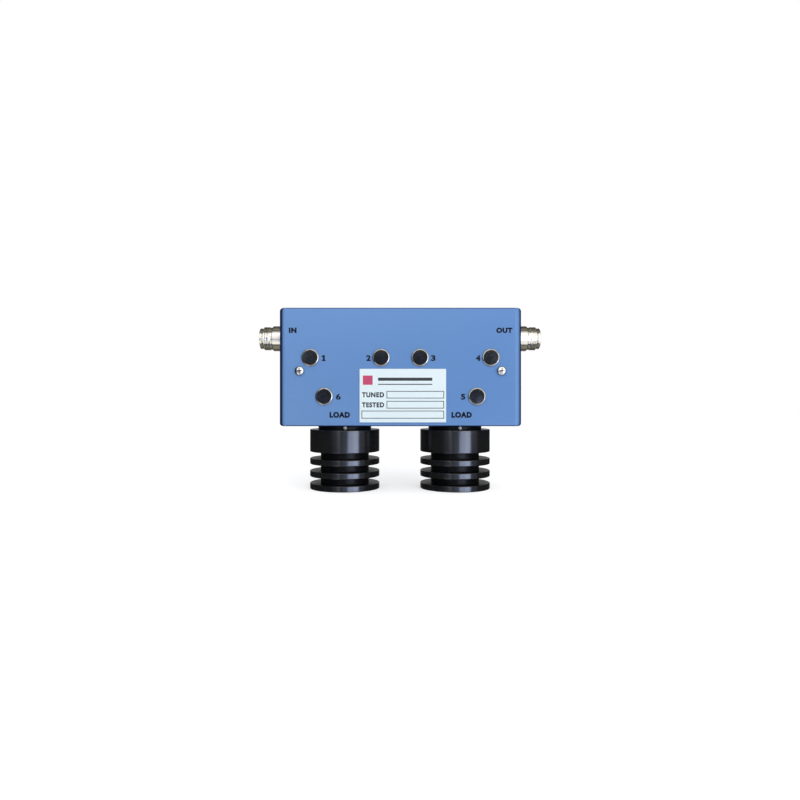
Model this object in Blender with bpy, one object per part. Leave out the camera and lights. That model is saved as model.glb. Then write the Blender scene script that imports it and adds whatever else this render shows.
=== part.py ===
"""Dual-stage RF isolator: a blue box with two coaxial jacks and two finned loads.

Metres, +Z up. X runs from the input jack to the output jack, and the front faces -Y.
The origin is on the surface that the two loads stand on, under the middle of the box.
"""

import math

import bmesh
import bpy
from mathutils import Matrix, Vector

MM = 0.001

# Clearances
SEAT_GAP = 0.3 * MM
SLOT_GAP = 0.4 * MM

# Layout in front view, from the middle of each junction
STAGE_PITCH = 71.0 * MM
STAGE_HEIGHT = 35.8 * MM
STAGE_DROP = 40.9 * MM
PORT_TRIMMER_OFFSET = 22.9 * MM
PORT_TRIMMER_RISE = 8.6 * MM
LOAD_TRIMMER_OFFSET = 13.9 * MM
LOAD_TRIMMER_DROP = 16.5 * MM
LOAD_OFFSET = 2.3 * MM
TRIMMER_TO_END = 20.1 * MM

# Box, whose width and height follow from the layout
BOX_DEPTH = 50.8 * MM
WALL = 2.4 * MM
BACK_PLATE_THICKNESS = 2.0 * MM
SIDE_EDGE_RADIUS = 3.0 * MM
TOP_EDGE_RADIUS = 0.8 * MM
CORNER_RADIUS = 2.0 * MM
POCKET_CORNER_RADIUS = 3.0 * MM
PLATE_EDGE_RADIUS = 0.5 * MM
SCREW_POST_RADIUS = 3.5 * MM
SCREW_POST_SINK = 1.3 * MM
SCREW_POST_LENGTH = 13.0 * MM
LOAD_BOSS_RADIUS = 10.0 * MM
LOAD_BOSS_HEIGHT = 3.0 * MM

# Pan-head cross-recess screws
SCREW_RADIUS = 1.4 * MM
SCREW_POINT_RADIUS = 1.0 * MM
SCREW_POINT_LENGTH = 1.4 * MM
SCREW_LENGTH = 9.0 * MM
SCREW_HEAD_RADIUS = 3.0 * MM
SCREW_HEAD_HEIGHT = 1.9 * MM
SCREW_HEAD_EDGE = 0.75 * MM
RECESS_REACH = 1.75 * MM
RECESS_WIDTH = 0.8 * MM
RECESS_FLOOR_REACH = 0.6 * MM
RECESS_FLOOR_WIDTH = 0.5 * MM
RECESS_DEPTH = 1.2 * MM
FRONT_SCREW_INSET = 13.2 * MM

# Snap-in hole plugs, one in front of each trimmer
PLUG_RADIUS = 5.6 * MM
PLUG_RIM_WIDTH = 0.85 * MM
PLUG_RIM_HEIGHT = 0.9 * MM
PLUG_CREST_WIDTH = 0.15 * MM
PLUG_EDGE_HEIGHT = 0.68 * MM
PLUG_METAL = 0.5 * MM
PLUG_HOLE_RADIUS = 4.75 * MM
PLUG_LEG_LENGTH = 4.6 * MM
PLUG_LEG_COUNT = 6
PLUG_SLOT_WIDTH = 1.6 * MM
PLUG_BARB = 0.5 * MM

# Label plate on the front, under the upper plugs
LABEL_WIDTH = 55.9 * MM
LABEL_HEIGHT = 34.6 * MM
LABEL_THICKNESS = 0.3 * MM
LABEL_X = 1.5 * MM
LABEL_GAP = 1.7 * MM
LABEL_CORNER_RADIUS = 0.4 * MM

# Jacks, measured down from the top of the box and outwards from its ends
JACK_DROP = 17.6 * MM
COLLAR_RADIUS = 8.6 * MM
COLLAR_LENGTH = 8.05 * MM
UNDERCUT_RADIUS = 7.6 * MM
UNDERCUT_LENGTH = 1.45 * MM
THREAD_RADIUS = 7.94 * MM
THREAD_LENGTH = 4.8 * MM
NOSE_RADIUS = 7.05 * MM
NOSE_LENGTH = 2.35 * MM
JACK_CHAMFER = 0.45 * MM
SOCKET_RADIUS = 4.3 * MM
SOCKET_DEPTH = 9.1 * MM
JACK_SHANK_RADIUS = 6.35 * MM
JACK_SHANK_PAST_NUT = 0.8 * MM
INSULATOR_BORE_RADIUS = 4.9 * MM
NUT_ACROSS_FLATS = 16.0 * MM
NUT_THICKNESS = 3.0 * MM
CONTACT_RADIUS = 1.55 * MM
CONTACT_BORE_RADIUS = 0.85 * MM
CONTACT_BORE_DEPTH = 4.0 * MM
CONTACT_RECESS = 4.5 * MM
CONTACT_SLIT_WIDTH = 0.35 * MM
CONTACT_SLIT_DEPTH = 3.2 * MM
CONTACT_CHAMFER = 0.35 * MM
CONTACT_STEM_RADIUS = 1.1 * MM
SOLDER_PIN_RADIUS = 0.8 * MM
SOLDER_PIN_LENGTH = 5.0 * MM

# Loads
LOAD_RADIUS = 23.8 * MM
LOAD_BODY_LENGTH = 15.1 * MM
FIN_COUNT = 3
FIN_THICKNESS = 3.95 * MM
FIN_GAP = 4.46 * MM
FIN_EDGE_RADIUS = 0.5 * MM
CORE_RADIUS = 16.5 * MM
NECK_RADIUS = 18.1 * MM
NECK_HEIGHT = 2.6 * MM
SPIGOT_RADIUS = 6.35 * MM
SPIGOT_PAST_BOSS = 0.6 * MM
LOAD_BORE_RADIUS = 4.0 * MM
LOAD_BORE_FLOOR = 14.0 * MM
RESISTOR_RADIUS = 2.8 * MM
RESISTOR_CAP_LENGTH = 4.0 * MM
RESISTOR_LENGTH = 30.0 * MM
RESISTOR_PIN_RADIUS = 0.7 * MM
RESISTOR_PIN_LENGTH = 8.0 * MM
LOCK_SCREW_ANGLE = math.radians(5)
LOCK_HEAD_RADIUS = 1.2 * MM
LOCK_HEAD_HEIGHT = 0.9 * MM
LOCK_SHANK_RADIUS = 0.6 * MM
LOCK_SHANK_LENGTH = 5.0 * MM

# Junction stacks, one for each stage
CONDUCTOR_THICKNESS = 0.6 * MM
CONDUCTOR_ARM_WIDTH = 5.0 * MM
PORT_ARM_LENGTH = 18.0 * MM
GROUND_TAB_CLEARANCE = 0.6 * MM
FERRITE_RADIUS = 14.0 * MM
FERRITE_THICKNESS = 3.0 * MM
MAGNET_RADIUS = 13.0 * MM
MAGNET_THICKNESS = 6.0 * MM
YOKE_RADIUS = 15.0 * MM
YOKE_THICKNESS = 1.6 * MM
YOKE_WEB_WIDTH = 16.0 * MM
YOKE_BEND_RADIUS = 1.4 * MM

# Carrier plate behind the junctions, inset from the walls of the box
CARRIER_THICKNESS = 1.5 * MM
CARRIER_END_INSET = 5.4 * MM
CARRIER_TOP_INSET = 9.0 * MM
CARRIER_BOTTOM_INSET = 8.0 * MM
CARRIER_CORNER_RADIUS = 3.0 * MM
CARRIER_POST_RADIUS = 3.0 * MM

# Disc trimmers
STATOR_RADIUS = 5.2 * MM
STATOR_THICKNESS = 1.7 * MM
ROTOR_RADIUS = 4.6 * MM
ROTOR_THICKNESS = 0.8 * MM
ELECTRODE_RADIUS = 4.1 * MM
ELECTRODE_THICKNESS = 0.2 * MM
ROTOR_HEAD_RADIUS = 1.8 * MM
ROTOR_HEAD_HEIGHT = 2.0 * MM
ROTOR_SLOT_WIDTH = 0.6 * MM
ROTOR_SLOT_DEPTH = 0.9 * MM
ROTOR_SHAFT_RADIUS = 0.9 * MM
ROTOR_SHAFT_PAST_CARRIER = 1.0 * MM
LUG_REACH = 9.0 * MM
LUG_WIDTH = 2.4 * MM
LUG_THICKNESS = 0.6 * MM

# Flat link strips
LINK_WIDTH = 2.4 * MM
LINK_THICKNESS = 0.6 * MM
LINK_BEND_RADIUS = 1.6 * MM
INTERSTAGE_DROP = 7.1 * MM

# Facets
LOAD_SIDES = 24
ROUND_SIDES = 20
PLUG_SIDES = 16
INNER_SIDES = 16
SMALL_SIDES = 12
NUT_SIDES = 12
CORNER_STEPS = 3
SMOOTH_ANGLE = math.radians(35)

# Places worked out from the sizes above
STAGE_X = STAGE_PITCH / 2
OUTER_TRIMMER_X = STAGE_X + PORT_TRIMMER_OFFSET
INNER_TRIMMER_X = STAGE_X - PORT_TRIMMER_OFFSET
LOAD_TRIMMER_X = STAGE_X + LOAD_TRIMMER_OFFSET
LOAD_X = STAGE_X + LOAD_OFFSET
BOX_WIDTH = 2 * (OUTER_TRIMMER_X + TRIMMER_TO_END)
BOX_HEIGHT = STAGE_HEIGHT + STAGE_DROP
LOAD_HEIGHT = FIN_COUNT * (FIN_THICKNESS + FIN_GAP) + LOAD_BODY_LENGTH
BOX_BOTTOM = LOAD_HEIGHT + NECK_HEIGHT + SEAT_GAP
BOX_CENTRE = BOX_BOTTOM + BOX_HEIGHT / 2
FRONT_FACE = -BOX_DEPTH / 2
FRONT_INSIDE = FRONT_FACE + WALL
BACK_FACE = BOX_DEPTH / 2
BACK_RIM = BACK_FACE - BACK_PLATE_THICKNESS - SEAT_GAP
END_FACE = BOX_WIDTH / 2
END_INSIDE = END_FACE - WALL
FLOOR_INSIDE = BOX_BOTTOM + WALL
JACK_Z = BOX_BOTTOM + BOX_HEIGHT - JACK_DROP
STAGE_Z = BOX_BOTTOM + STAGE_HEIGHT
UPPER_TRIMMER_Z = STAGE_Z + PORT_TRIMMER_RISE
LOAD_TRIMMER_Z = STAGE_Z - LOAD_TRIMMER_DROP
FRONT_SCREW_X = END_FACE - FRONT_SCREW_INSET
FRONT_SCREW_Z = STAGE_Z
LABEL_Z = UPPER_TRIMMER_Z - PLUG_RADIUS - LABEL_GAP - LABEL_HEIGHT / 2
SCREW_HOLE_RADIUS = SCREW_RADIUS + SEAT_GAP
POST_INSET = WALL + SCREW_POST_RADIUS - SCREW_POST_SINK
POST_X = BOX_WIDTH / 2 - POST_INSET
POST_Z = BOX_HEIGHT / 2 - POST_INSET
JACK_PIN_END = END_INSIDE - SEAT_GAP - NUT_THICKNESS - JACK_SHANK_PAST_NUT - SOLDER_PIN_LENGTH
FERRITE_FACE = CONDUCTOR_THICKNESS / 2 + SEAT_GAP
FERRITE_BACK = FERRITE_FACE + FERRITE_THICKNESS
CARRIER_FRONT = FERRITE_BACK + SEAT_GAP
CARRIER_REAR = CARRIER_FRONT + CARRIER_THICKNESS
FRONT_MAGNET = FERRITE_BACK + SEAT_GAP
REAR_MAGNET = CARRIER_REAR + SEAT_GAP
YOKE_FRONT = FRONT_MAGNET + MAGNET_THICKNESS + SEAT_GAP
YOKE_REAR = REAR_MAGNET + MAGNET_THICKNESS + SEAT_GAP
GROUND_TAB_RADIUS = FERRITE_RADIUS + GROUND_TAB_CLEARANCE
YOKE_WEB_RADIUS = GROUND_TAB_RADIUS + CONDUCTOR_THICKNESS + GROUND_TAB_CLEARANCE
LINK_REAR = -CONDUCTOR_THICKNESS / 2 - SEAT_GAP
LINK_FRONT = LINK_REAR - LINK_THICKNESS
STATOR_REAR = CARRIER_FRONT - SEAT_GAP
STATOR_FRONT = STATOR_REAR - STATOR_THICKNESS
ROTOR_REAR = STATOR_FRONT - SEAT_GAP
ROTOR_FRONT = ROTOR_REAR - ROTOR_THICKNESS
PORT_RISE = PORT_ARM_LENGTH * math.sin(math.radians(30))
PORT_REACH = PORT_ARM_LENGTH * math.cos(math.radians(30))
LOAD_PIN_TOP = LOAD_BORE_FLOOR + SEAT_GAP + RESISTOR_LENGTH + RESISTOR_PIN_LENGTH

# Directions that the local Z axis of a turned piece can face
TO_FRONT = (math.radians(90), 0, 0)
TO_BACK = (math.radians(-90), 0, 0)

# Number, place across, place up and side of the stage for each trimmer and its plug
TRIMMERS = (
    (1, -OUTER_TRIMMER_X, UPPER_TRIMMER_Z, 1),
    (2, -INNER_TRIMMER_X, UPPER_TRIMMER_Z, -1),
    (3, INNER_TRIMMER_X, UPPER_TRIMMER_Z, 1),
    (4, OUTER_TRIMMER_X, UPPER_TRIMMER_Z, -1),
    (5, LOAD_TRIMMER_X, LOAD_TRIMMER_Z, -1),
    (6, -LOAD_TRIMMER_X, LOAD_TRIMMER_Z, 1),
)
ENDS = (("input", -1), ("output", 1))


def clear_scene():
    for obj in list(bpy.data.objects):
        bpy.data.objects.remove(obj, do_unlink=True)


def material(name, colour, roughness, metallic):
    made = bpy.data.materials.new(name)
    made.use_nodes = True
    made.diffuse_color = (*colour, 1)
    shader = made.node_tree.nodes["Principled BSDF"]
    shader.inputs["Base Color"].default_value = (*colour, 1)
    shader.inputs["Roughness"].default_value = roughness
    shader.inputs["Metallic"].default_value = metallic
    return made


def mesh_of(bm, name):
    """A mesh from bm, with faces out, smooth across its round sides."""
    bmesh.ops.recalc_face_normals(bm, faces=bm.faces)
    mesh = bpy.data.meshes.new(name)
    bm.to_mesh(mesh)
    bm.free()
    mesh.shade_smooth()
    mesh.set_sharp_from_angle(angle=SMOOTH_ANGLE)
    return mesh


def add(name, shape, finish=None, location=(0, 0, 0), rotation=(0, 0, 0), parent=None):
    """An object of this name, from a bmesh or from a mesh that it shares."""
    mesh = mesh_of(shape, name) if isinstance(shape, bmesh.types.BMesh) else shape
    obj = bpy.data.objects.new(name, mesh)
    bpy.context.scene.collection.objects.link(obj)
    obj.location = location
    obj.rotation_euler = rotation
    obj.parent = parent
    if finish and not mesh.materials:
        mesh.materials.append(finish)
    return obj


def helper(name, shape, **place):
    """A cutter or a piece to be joined on, which isn't part of the model."""
    obj = add(name, shape, **place)
    obj.hide_render = True
    obj.display_type = "WIRE"
    return obj


def combine(obj, other, operation):
    modifier = obj.modifiers.new(f"{operation.lower()} {other.name}", "BOOLEAN")
    modifier.operation = operation
    modifier.solver = "EXACT"
    modifier.object = other
    return obj


def cut(obj, other):
    return combine(obj, other, "DIFFERENCE")


def join(obj, other):
    return combine(obj, other, "UNION")


def shared_mesh(obj):
    """The finished mesh of obj, for several objects to share. The first object goes."""
    graph = bpy.context.evaluated_depsgraph_get()
    mesh = bpy.data.meshes.new_from_object(obj.evaluated_get(graph))
    mesh.name = obj.name
    bpy.data.objects.remove(obj, do_unlink=True)
    return mesh


def loft(sections):
    """A solid through closed sections that have the same number of points."""
    bm = bmesh.new()
    rings = [[bm.verts.new(point) for point in section] for section in sections]
    for low, high in zip(rings, rings[1:]):
        for i in range(len(low)):
            j = (i + 1) % len(low)
            bm.faces.new((low[i], low[j], high[j], high[i]))
    bm.faces.new(rings[0])
    bm.faces.new(rings[-1])
    return bm


def slab(outline, front, back):
    """A flat piece: an outline in front view, from one depth to another."""
    return loft([[(x, y, z) for x, z in outline] for y in (front, back)])


def turned(profile, sides):
    """A solid of revolution about local Z from (radius, height) points.

    A profile that starts on the axis ends on it, and any other is a closed ring.
    """
    bm = bmesh.new()
    points = [bm.verts.new((radius, 0, height)) for radius, height in profile]
    edges = [bm.edges.new(pair) for pair in zip(points, points[1:])]
    if profile[0][0] > 0:
        edges.append(bm.edges.new((points[-1], points[0])))
    bmesh.ops.spin(
        bm,
        geom=points + edges,
        cent=(0, 0, 0),
        axis=(0, 0, 1),
        angle=math.tau,
        steps=sides,
        use_merge=True,
    )
    bmesh.ops.remove_doubles(bm, verts=bm.verts, dist=1e-7)
    return bm


def rods(places, sides=ROUND_SIDES):
    """Straight rods in one mesh, each from a radius, a start and an end."""
    bm = bmesh.new()
    for radius, start, end in places:
        along = Vector(end) - Vector(start)
        turn = Vector((0, 0, 1)).rotation_difference(along).to_matrix().to_4x4()
        middle = Matrix.Translation((Vector(start) + Vector(end)) / 2)
        bmesh.ops.create_cone(
            bm,
            cap_ends=True,
            segments=sides,
            radius1=radius,
            radius2=radius,
            depth=along.length,
            matrix=middle @ turn,
        )
    return bm


def arc(centre_x, centre_z, radius, start, end, steps):
    """Points of an arc from one angle to another, in degrees."""
    angles = [math.radians(start + (end - start) * i / steps) for i in range(steps + 1)]
    return [(centre_x + radius * math.cos(a), centre_z + radius * math.sin(a)) for a in angles]


def rounded_rectangle(width, height, radius, centre=(0, 0)):
    points = []
    corners = ((1, 1, 0), (-1, 1, 90), (-1, -1, 180), (1, -1, 270))
    for across, up, start in corners:
        x = centre[0] + across * (width / 2 - radius)
        z = centre[1] + up * (height / 2 - radius)
        points += arc(x, z, radius, start, start + 90, CORNER_STEPS)
    return points


def rounded_path(points, radius):
    """An open path with its inner corners turned into arcs."""
    path = [Vector(points[0])]
    for before, corner, after in zip(points, points[1:], points[2:]):
        corner = Vector(corner)
        back = (Vector(before) - corner).normalized()
        on = (Vector(after) - corner).normalized()
        half = back.angle(on) / 2
        start = corner + back * radius / math.tan(half)
        end = corner + on * radius / math.tan(half)
        centre = corner + (back + on).normalized() * radius / math.sin(half)
        first, last = (start - centre).normalized(), (end - centre).normalized()
        for i in range(CORNER_STEPS + 1):
            path.append(centre + first.slerp(last, i / CORNER_STEPS) * radius)
    path.append(Vector(points[-1]))
    return path


def ribbon(path, width):
    """The outline of a strip of even width along an open path."""
    left, right = [], []
    for i, point in enumerate(path):
        before = (point - path[i - 1]).normalized() if i else None
        after = (path[i + 1] - point).normalized() if i + 1 < len(path) else None
        along = ((before or after) + (after or before)).normalized()
        stretch = 1 / along.dot(before or after)
        side = Vector((-along.y, along.x)) * (width / 2 * stretch)
        left.append(tuple(point + side))
        right.append(tuple(point - side))
    return left + right[::-1]


def edge_inset(radius, depth):
    """How far a rounded edge is set back from the side at this depth under the face."""
    if depth >= radius:
        return 0.0
    return radius - math.sqrt(radius**2 - (radius - depth) ** 2)


def housing(blue):
    """The tray: front, ends, top and bottom in one piece, open at the back."""
    bend_steps = 4
    depths = [SIDE_EDGE_RADIUS * (i / bend_steps) ** 2 for i in range(bend_steps + 1)]
    sections = []
    for depth in depths + [BACK_RIM - FRONT_FACE]:
        width = BOX_WIDTH - 2 * edge_inset(SIDE_EDGE_RADIUS, depth)
        height = BOX_HEIGHT - 2 * edge_inset(TOP_EDGE_RADIUS, depth)
        outline = rounded_rectangle(width, height, CORNER_RADIUS, (0, BOX_CENTRE))
        sections.append([(x, FRONT_FACE + depth, z) for x, z in outline])
    tray = add("housing", loft(sections), blue)

    pocket = rounded_rectangle(
        BOX_WIDTH - 2 * WALL, BOX_HEIGHT - 2 * WALL, POCKET_CORNER_RADIUS, (0, BOX_CENTRE)
    )
    cut(tray, helper("pocket_cutter", slab(pocket, FRONT_INSIDE, BACK_FACE)))

    posts = []
    post_foot = BACK_RIM - SCREW_POST_LENGTH
    for x, z in corner_places():
        posts.append((SCREW_POST_RADIUS, (x, post_foot, z), (x, BACK_RIM, z)))
    join(tray, helper("screw_posts", rods(posts, SMALL_SIDES)))

    bosses = []
    boss_foot = FLOOR_INSIDE - SCREW_POST_SINK
    for _, side in ENDS:
        x = side * LOAD_X
        bosses.append((LOAD_BOSS_RADIUS, (x, 0, boss_foot), (x, 0, FLOOR_INSIDE + LOAD_BOSS_HEIGHT)))
    join(tray, helper("load_bosses", rods(bosses)))

    wide, narrow = housing_holes()
    cut(tray, helper("housing_hole_cutters", rods(wide, INNER_SIDES)))
    cut(tray, helper("housing_screw_hole_cutters", rods(narrow, SMALL_SIDES)))
    return tray


def corner_places():
    """Where the back screws go, across and up."""
    return [(x, BOX_CENTRE + z) for x in (-POST_X, POST_X) for z in (-POST_Z, POST_Z)]


def housing_holes():
    """The wide holes of the housing, and its screw holes."""
    wide, narrow = [], []
    before_front = FRONT_FACE - WALL
    behind_front = FRONT_INSIDE + WALL
    for _, x, z, _ in TRIMMERS:
        wide.append((PLUG_HOLE_RADIUS, (x, before_front, z), (x, behind_front, z)))
    for _, side in ENDS:
        inside, outside = side * (END_INSIDE - WALL), side * (END_FACE + WALL)
        wide.append((JACK_SHANK_RADIUS + SEAT_GAP, (inside, 0, JACK_Z), (outside, 0, JACK_Z)))
        x = side * LOAD_X
        below, above = BOX_BOTTOM - WALL, FLOOR_INSIDE + LOAD_BOSS_HEIGHT + WALL
        wide.append((SPIGOT_RADIUS + SEAT_GAP, (x, 0, below), (x, 0, above)))
        x = side * FRONT_SCREW_X
        start, end = (x, before_front, FRONT_SCREW_Z), (x, behind_front, FRONT_SCREW_Z)
        narrow.append((SCREW_HOLE_RADIUS, start, end))
    for x, z in corner_places():
        start, end = (x, BACK_FACE - SCREW_LENGTH - WALL, z), (x, BACK_FACE, z)
        narrow.append((SCREW_HOLE_RADIUS, start, end))
    return wide, narrow


def back_plate(blue):
    sections = []
    thickness = BACK_PLATE_THICKNESS
    for depth in (0, PLATE_EDGE_RADIUS, thickness):
        inset = 2 * edge_inset(PLATE_EDGE_RADIUS, depth)
        width, height = BOX_WIDTH - inset, BOX_HEIGHT - inset
        outline = rounded_rectangle(width, height, CORNER_RADIUS, (0, BOX_CENTRE))
        sections.append([(x, BACK_FACE - depth, z) for x, z in outline])
    plate = add("back_plate", loft(sections), blue)
    holes = []
    for x, z in corner_places():
        start, end = (x, BACK_FACE - 2 * thickness, z), (x, BACK_FACE + thickness, z)
        holes.append((SCREW_HOLE_RADIUS, start, end))
    cut(plate, helper("back_plate_hole_cutters", rods(holes, SMALL_SIDES)))
    return plate


def cross_outline(reach, width):
    half = width / 2
    quarter = [(reach, -half), (reach, half), (half, half)]
    points = []
    for turn in range(4):
        c, s = math.cos(turn * math.tau / 4), math.sin(turn * math.tau / 4)
        points += [(c * x - s * y, s * x + c * y) for x, y in quarter]
    return points


def screw_mesh(nickel):
    """A pan-head screw. Its head sits on local Z = 0 and faces +Z."""
    crown = SCREW_HEAD_HEIGHT - SCREW_HEAD_EDGE
    dome = [
        (SCREW_HEAD_RADIUS * across, SCREW_HEAD_EDGE + crown * up)
        for across, up in arc(0, 0, 1, 0, 60, 2)
    ]
    profile = [(0, -SCREW_LENGTH), (SCREW_POINT_RADIUS, -SCREW_LENGTH)]
    profile += [(SCREW_RADIUS, SCREW_POINT_LENGTH - SCREW_LENGTH), (SCREW_RADIUS, 0)]
    profile += [(SCREW_HEAD_RADIUS, 0)] + dome + [(0, SCREW_HEAD_HEIGHT)]
    screw = add("pan_head_screw", turned(profile, SMALL_SIDES), nickel)
    above = SCREW_HEAD_HEIGHT + RECESS_DEPTH
    below = SCREW_HEAD_HEIGHT - RECESS_DEPTH
    top = [(x, y, above) for x, y in cross_outline(2 * RECESS_REACH, RECESS_WIDTH)]
    bottom = [(x, y, below) for x, y in cross_outline(RECESS_FLOOR_REACH, RECESS_FLOOR_WIDTH)]
    recess = helper("recess_cutter", loft([bottom, top]))
    cut(screw, recess)
    mesh = shared_mesh(screw)
    bpy.data.objects.remove(recess, do_unlink=True)
    return mesh


def screws(nickel):
    mesh = screw_mesh(nickel)
    for name, side in (("left", -1), ("right", 1)):
        place = (side * FRONT_SCREW_X, FRONT_FACE - SEAT_GAP, FRONT_SCREW_Z)
        add(f"front_screw_{name}", mesh, location=place, rotation=TO_FRONT)
    for number, (x, z) in enumerate(corner_places(), 1):
        place = (x, BACK_FACE + SEAT_GAP, z)
        add(f"back_screw_{number}", mesh, location=place, rotation=TO_BACK)


def plug_mesh(plated):
    """A stamped plug: sunk face, sloping rim and sprung legs. It faces local +Z."""
    face = PLUG_RADIUS - PLUG_RIM_WIDTH
    crest = face + PLUG_CREST_WIDTH
    rim = [(PLUG_RADIUS, 0), (PLUG_RADIUS, PLUG_EDGE_HEIGHT)]
    rim += [(crest, PLUG_RIM_HEIGHT), (face, PLUG_RIM_HEIGHT)]
    leg = PLUG_HOLE_RADIUS - SEAT_GAP
    inside = leg - PLUG_METAL
    behind_wall = WALL + 2 * SEAT_GAP
    profile = [(0, 0), (inside, 0), (inside, -PLUG_LEG_LENGTH), (leg, -PLUG_LEG_LENGTH)]
    profile += [(leg + PLUG_BARB, -behind_wall - PLUG_BARB), (leg, -behind_wall), (leg, 0)]
    profile += rim + [(face, PLUG_METAL), (0, PLUG_METAL)]
    plug = add("hole_plug", turned(profile, PLUG_SIDES), plated)
    bm = bmesh.new()
    for i in range(PLUG_LEG_COUNT // 2):
        turn = Matrix.Rotation(math.tau / PLUG_LEG_COUNT * i, 4, "Z")
        drop = Matrix.Translation((0, 0, -PLUG_LEG_LENGTH / 2 - PLUG_METAL))
        size = Matrix.Diagonal((2 * PLUG_RADIUS, PLUG_SLOT_WIDTH, PLUG_LEG_LENGTH, 1))
        bmesh.ops.create_cube(bm, size=1, matrix=turn @ drop @ size)
    slots = helper("plug_slot_cutters", bm)
    cut(plug, slots).modifiers[-1].use_self = True
    mesh = shared_mesh(plug)
    bpy.data.objects.remove(slots, do_unlink=True)
    return mesh


def plugs(plated):
    mesh = plug_mesh(plated)
    for number, x, z, _ in TRIMMERS:
        place = (x, FRONT_FACE - SEAT_GAP, z)
        add(f"hole_plug_{number}", mesh, location=place, rotation=TO_FRONT)


def label(white):
    middle = (LABEL_X, LABEL_Z)
    outline = rounded_rectangle(LABEL_WIDTH, LABEL_HEIGHT, LABEL_CORNER_RADIUS, middle)
    rear = FRONT_FACE - SEAT_GAP
    add("label_plate", slab(outline, rear - LABEL_THICKNESS, rear), white)


def jack_body_mesh():
    """The jack's shell. Local Z = 0 is the seat of its collar, and +Z is outwards."""
    c = JACK_CHAMFER
    undercut = COLLAR_LENGTH + UNDERCUT_LENGTH
    thread = undercut + THREAD_LENGTH
    tip = thread + NOSE_LENGTH
    shank = -(WALL + 2 * SEAT_GAP + NUT_THICKNESS + JACK_SHANK_PAST_NUT)
    floor = tip - SOCKET_DEPTH
    profile = [
        (SOCKET_RADIUS, floor),
        (INSULATOR_BORE_RADIUS, floor),
        (INSULATOR_BORE_RADIUS, shank),
        (JACK_SHANK_RADIUS, shank),
        (JACK_SHANK_RADIUS, 0),
        (COLLAR_RADIUS, 0),
        (COLLAR_RADIUS, COLLAR_LENGTH - c),
        (COLLAR_RADIUS - c, COLLAR_LENGTH),
        (UNDERCUT_RADIUS, COLLAR_LENGTH),
        (UNDERCUT_RADIUS, undercut),
        (THREAD_RADIUS, undercut + c),
        (THREAD_RADIUS, thread - c),
        (NOSE_RADIUS - c, thread),
        (NOSE_RADIUS, thread + c),
        (NOSE_RADIUS, tip - c),
        (NOSE_RADIUS - c, tip),
        (SOCKET_RADIUS + c, tip),
        (SOCKET_RADIUS, tip - c),
    ]
    return mesh_of(turned(profile, ROUND_SIDES), "jack_body"), shank, floor, tip


def insulator_mesh(shank, floor):
    radius = INSULATOR_BORE_RADIUS - SEAT_GAP
    bore = CONTACT_STEM_RADIUS + SEAT_GAP
    front = floor - SEAT_GAP
    profile = [(bore, shank), (radius, shank), (radius, front), (bore, front)]
    return mesh_of(turned(profile, INNER_SIDES), "jack_insulator")


def contact_mesh(gold, shank, floor, tip):
    """The slotted centre socket, with its stem and solder pin."""
    mouth = tip - CONTACT_RECESS
    c = CONTACT_CHAMFER
    profile = [
        (0, shank - SOLDER_PIN_LENGTH),
        (SOLDER_PIN_RADIUS - c, shank - SOLDER_PIN_LENGTH),
        (SOLDER_PIN_RADIUS, shank - SOLDER_PIN_LENGTH + c),
        (SOLDER_PIN_RADIUS, shank),
        (CONTACT_STEM_RADIUS, shank),
        (CONTACT_STEM_RADIUS, floor),
        (CONTACT_RADIUS, floor),
        (CONTACT_RADIUS, mouth - c),
        (CONTACT_RADIUS - c, mouth),
        (CONTACT_BORE_RADIUS, mouth),
        (CONTACT_BORE_RADIUS, mouth - CONTACT_BORE_DEPTH),
        (0, mouth - CONTACT_BORE_DEPTH - CONTACT_BORE_RADIUS),
    ]
    contact = add("jack_contact", turned(profile, SMALL_SIDES), gold)
    outline = cross_outline(2 * CONTACT_RADIUS, CONTACT_SLIT_WIDTH)
    heights = (mouth - CONTACT_SLIT_DEPTH, mouth + CONTACT_SLIT_DEPTH)
    slits = helper("slit_cutter", loft([[(x, y, z) for x, y in outline] for z in heights]))
    cut(contact, slits)
    mesh = shared_mesh(contact)
    bpy.data.objects.remove(slits, do_unlink=True)
    return mesh


def nut_mesh():
    """A hexagon nut with a flat towards local +X. Its outer face is local Z = 0."""
    hole = JACK_SHANK_RADIUS + SEAT_GAP
    corner = math.radians(30)
    angles = [math.tau * i / NUT_SIDES for i in range(NUT_SIDES)]
    flats = [NUT_ACROSS_FLATS / 2 / math.cos((a + corner) % (2 * corner) - corner) for a in angles]
    bm = bmesh.new()
    rings = []
    for wide, height in ((True, 0), (True, -NUT_THICKNESS), (False, -NUT_THICKNESS), (False, 0)):
        radii = flats if wide else [hole] * NUT_SIDES
        points = [(r * math.cos(a), r * math.sin(a), height) for a, r in zip(angles, radii)]
        rings.append([bm.verts.new(point) for point in points])
    for low, high in zip(rings, rings[1:] + rings[:1]):
        for i in range(NUT_SIDES):
            j = (i + 1) % NUT_SIDES
            bm.faces.new((low[i], low[j], high[j], high[i]))
    return mesh_of(bm, "jack_nut")


def jacks(nickel, white_plastic, gold):
    body, shank, floor, tip = jack_body_mesh()
    insulator = insulator_mesh(shank, floor)
    contact = contact_mesh(gold, shank, floor, tip)
    nut = nut_mesh()
    for name, side in ENDS:
        seat = bpy.data.objects.new(f"{name}_jack_seat", None)
        bpy.context.scene.collection.objects.link(seat)
        seat.location = (side * (END_FACE + SEAT_GAP), 0, JACK_Z)
        seat.rotation_euler = (0, side * math.radians(90), 0)
        add(f"{name}_jack_body", body, nickel, parent=seat)
        add(f"{name}_jack_insulator", insulator, white_plastic, parent=seat)
        add(f"{name}_jack_contact", contact, gold, parent=seat)
        depth = -WALL - 2 * SEAT_GAP
        add(f"{name}_jack_nut", nut, nickel, location=(0, 0, depth), parent=seat)


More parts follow.
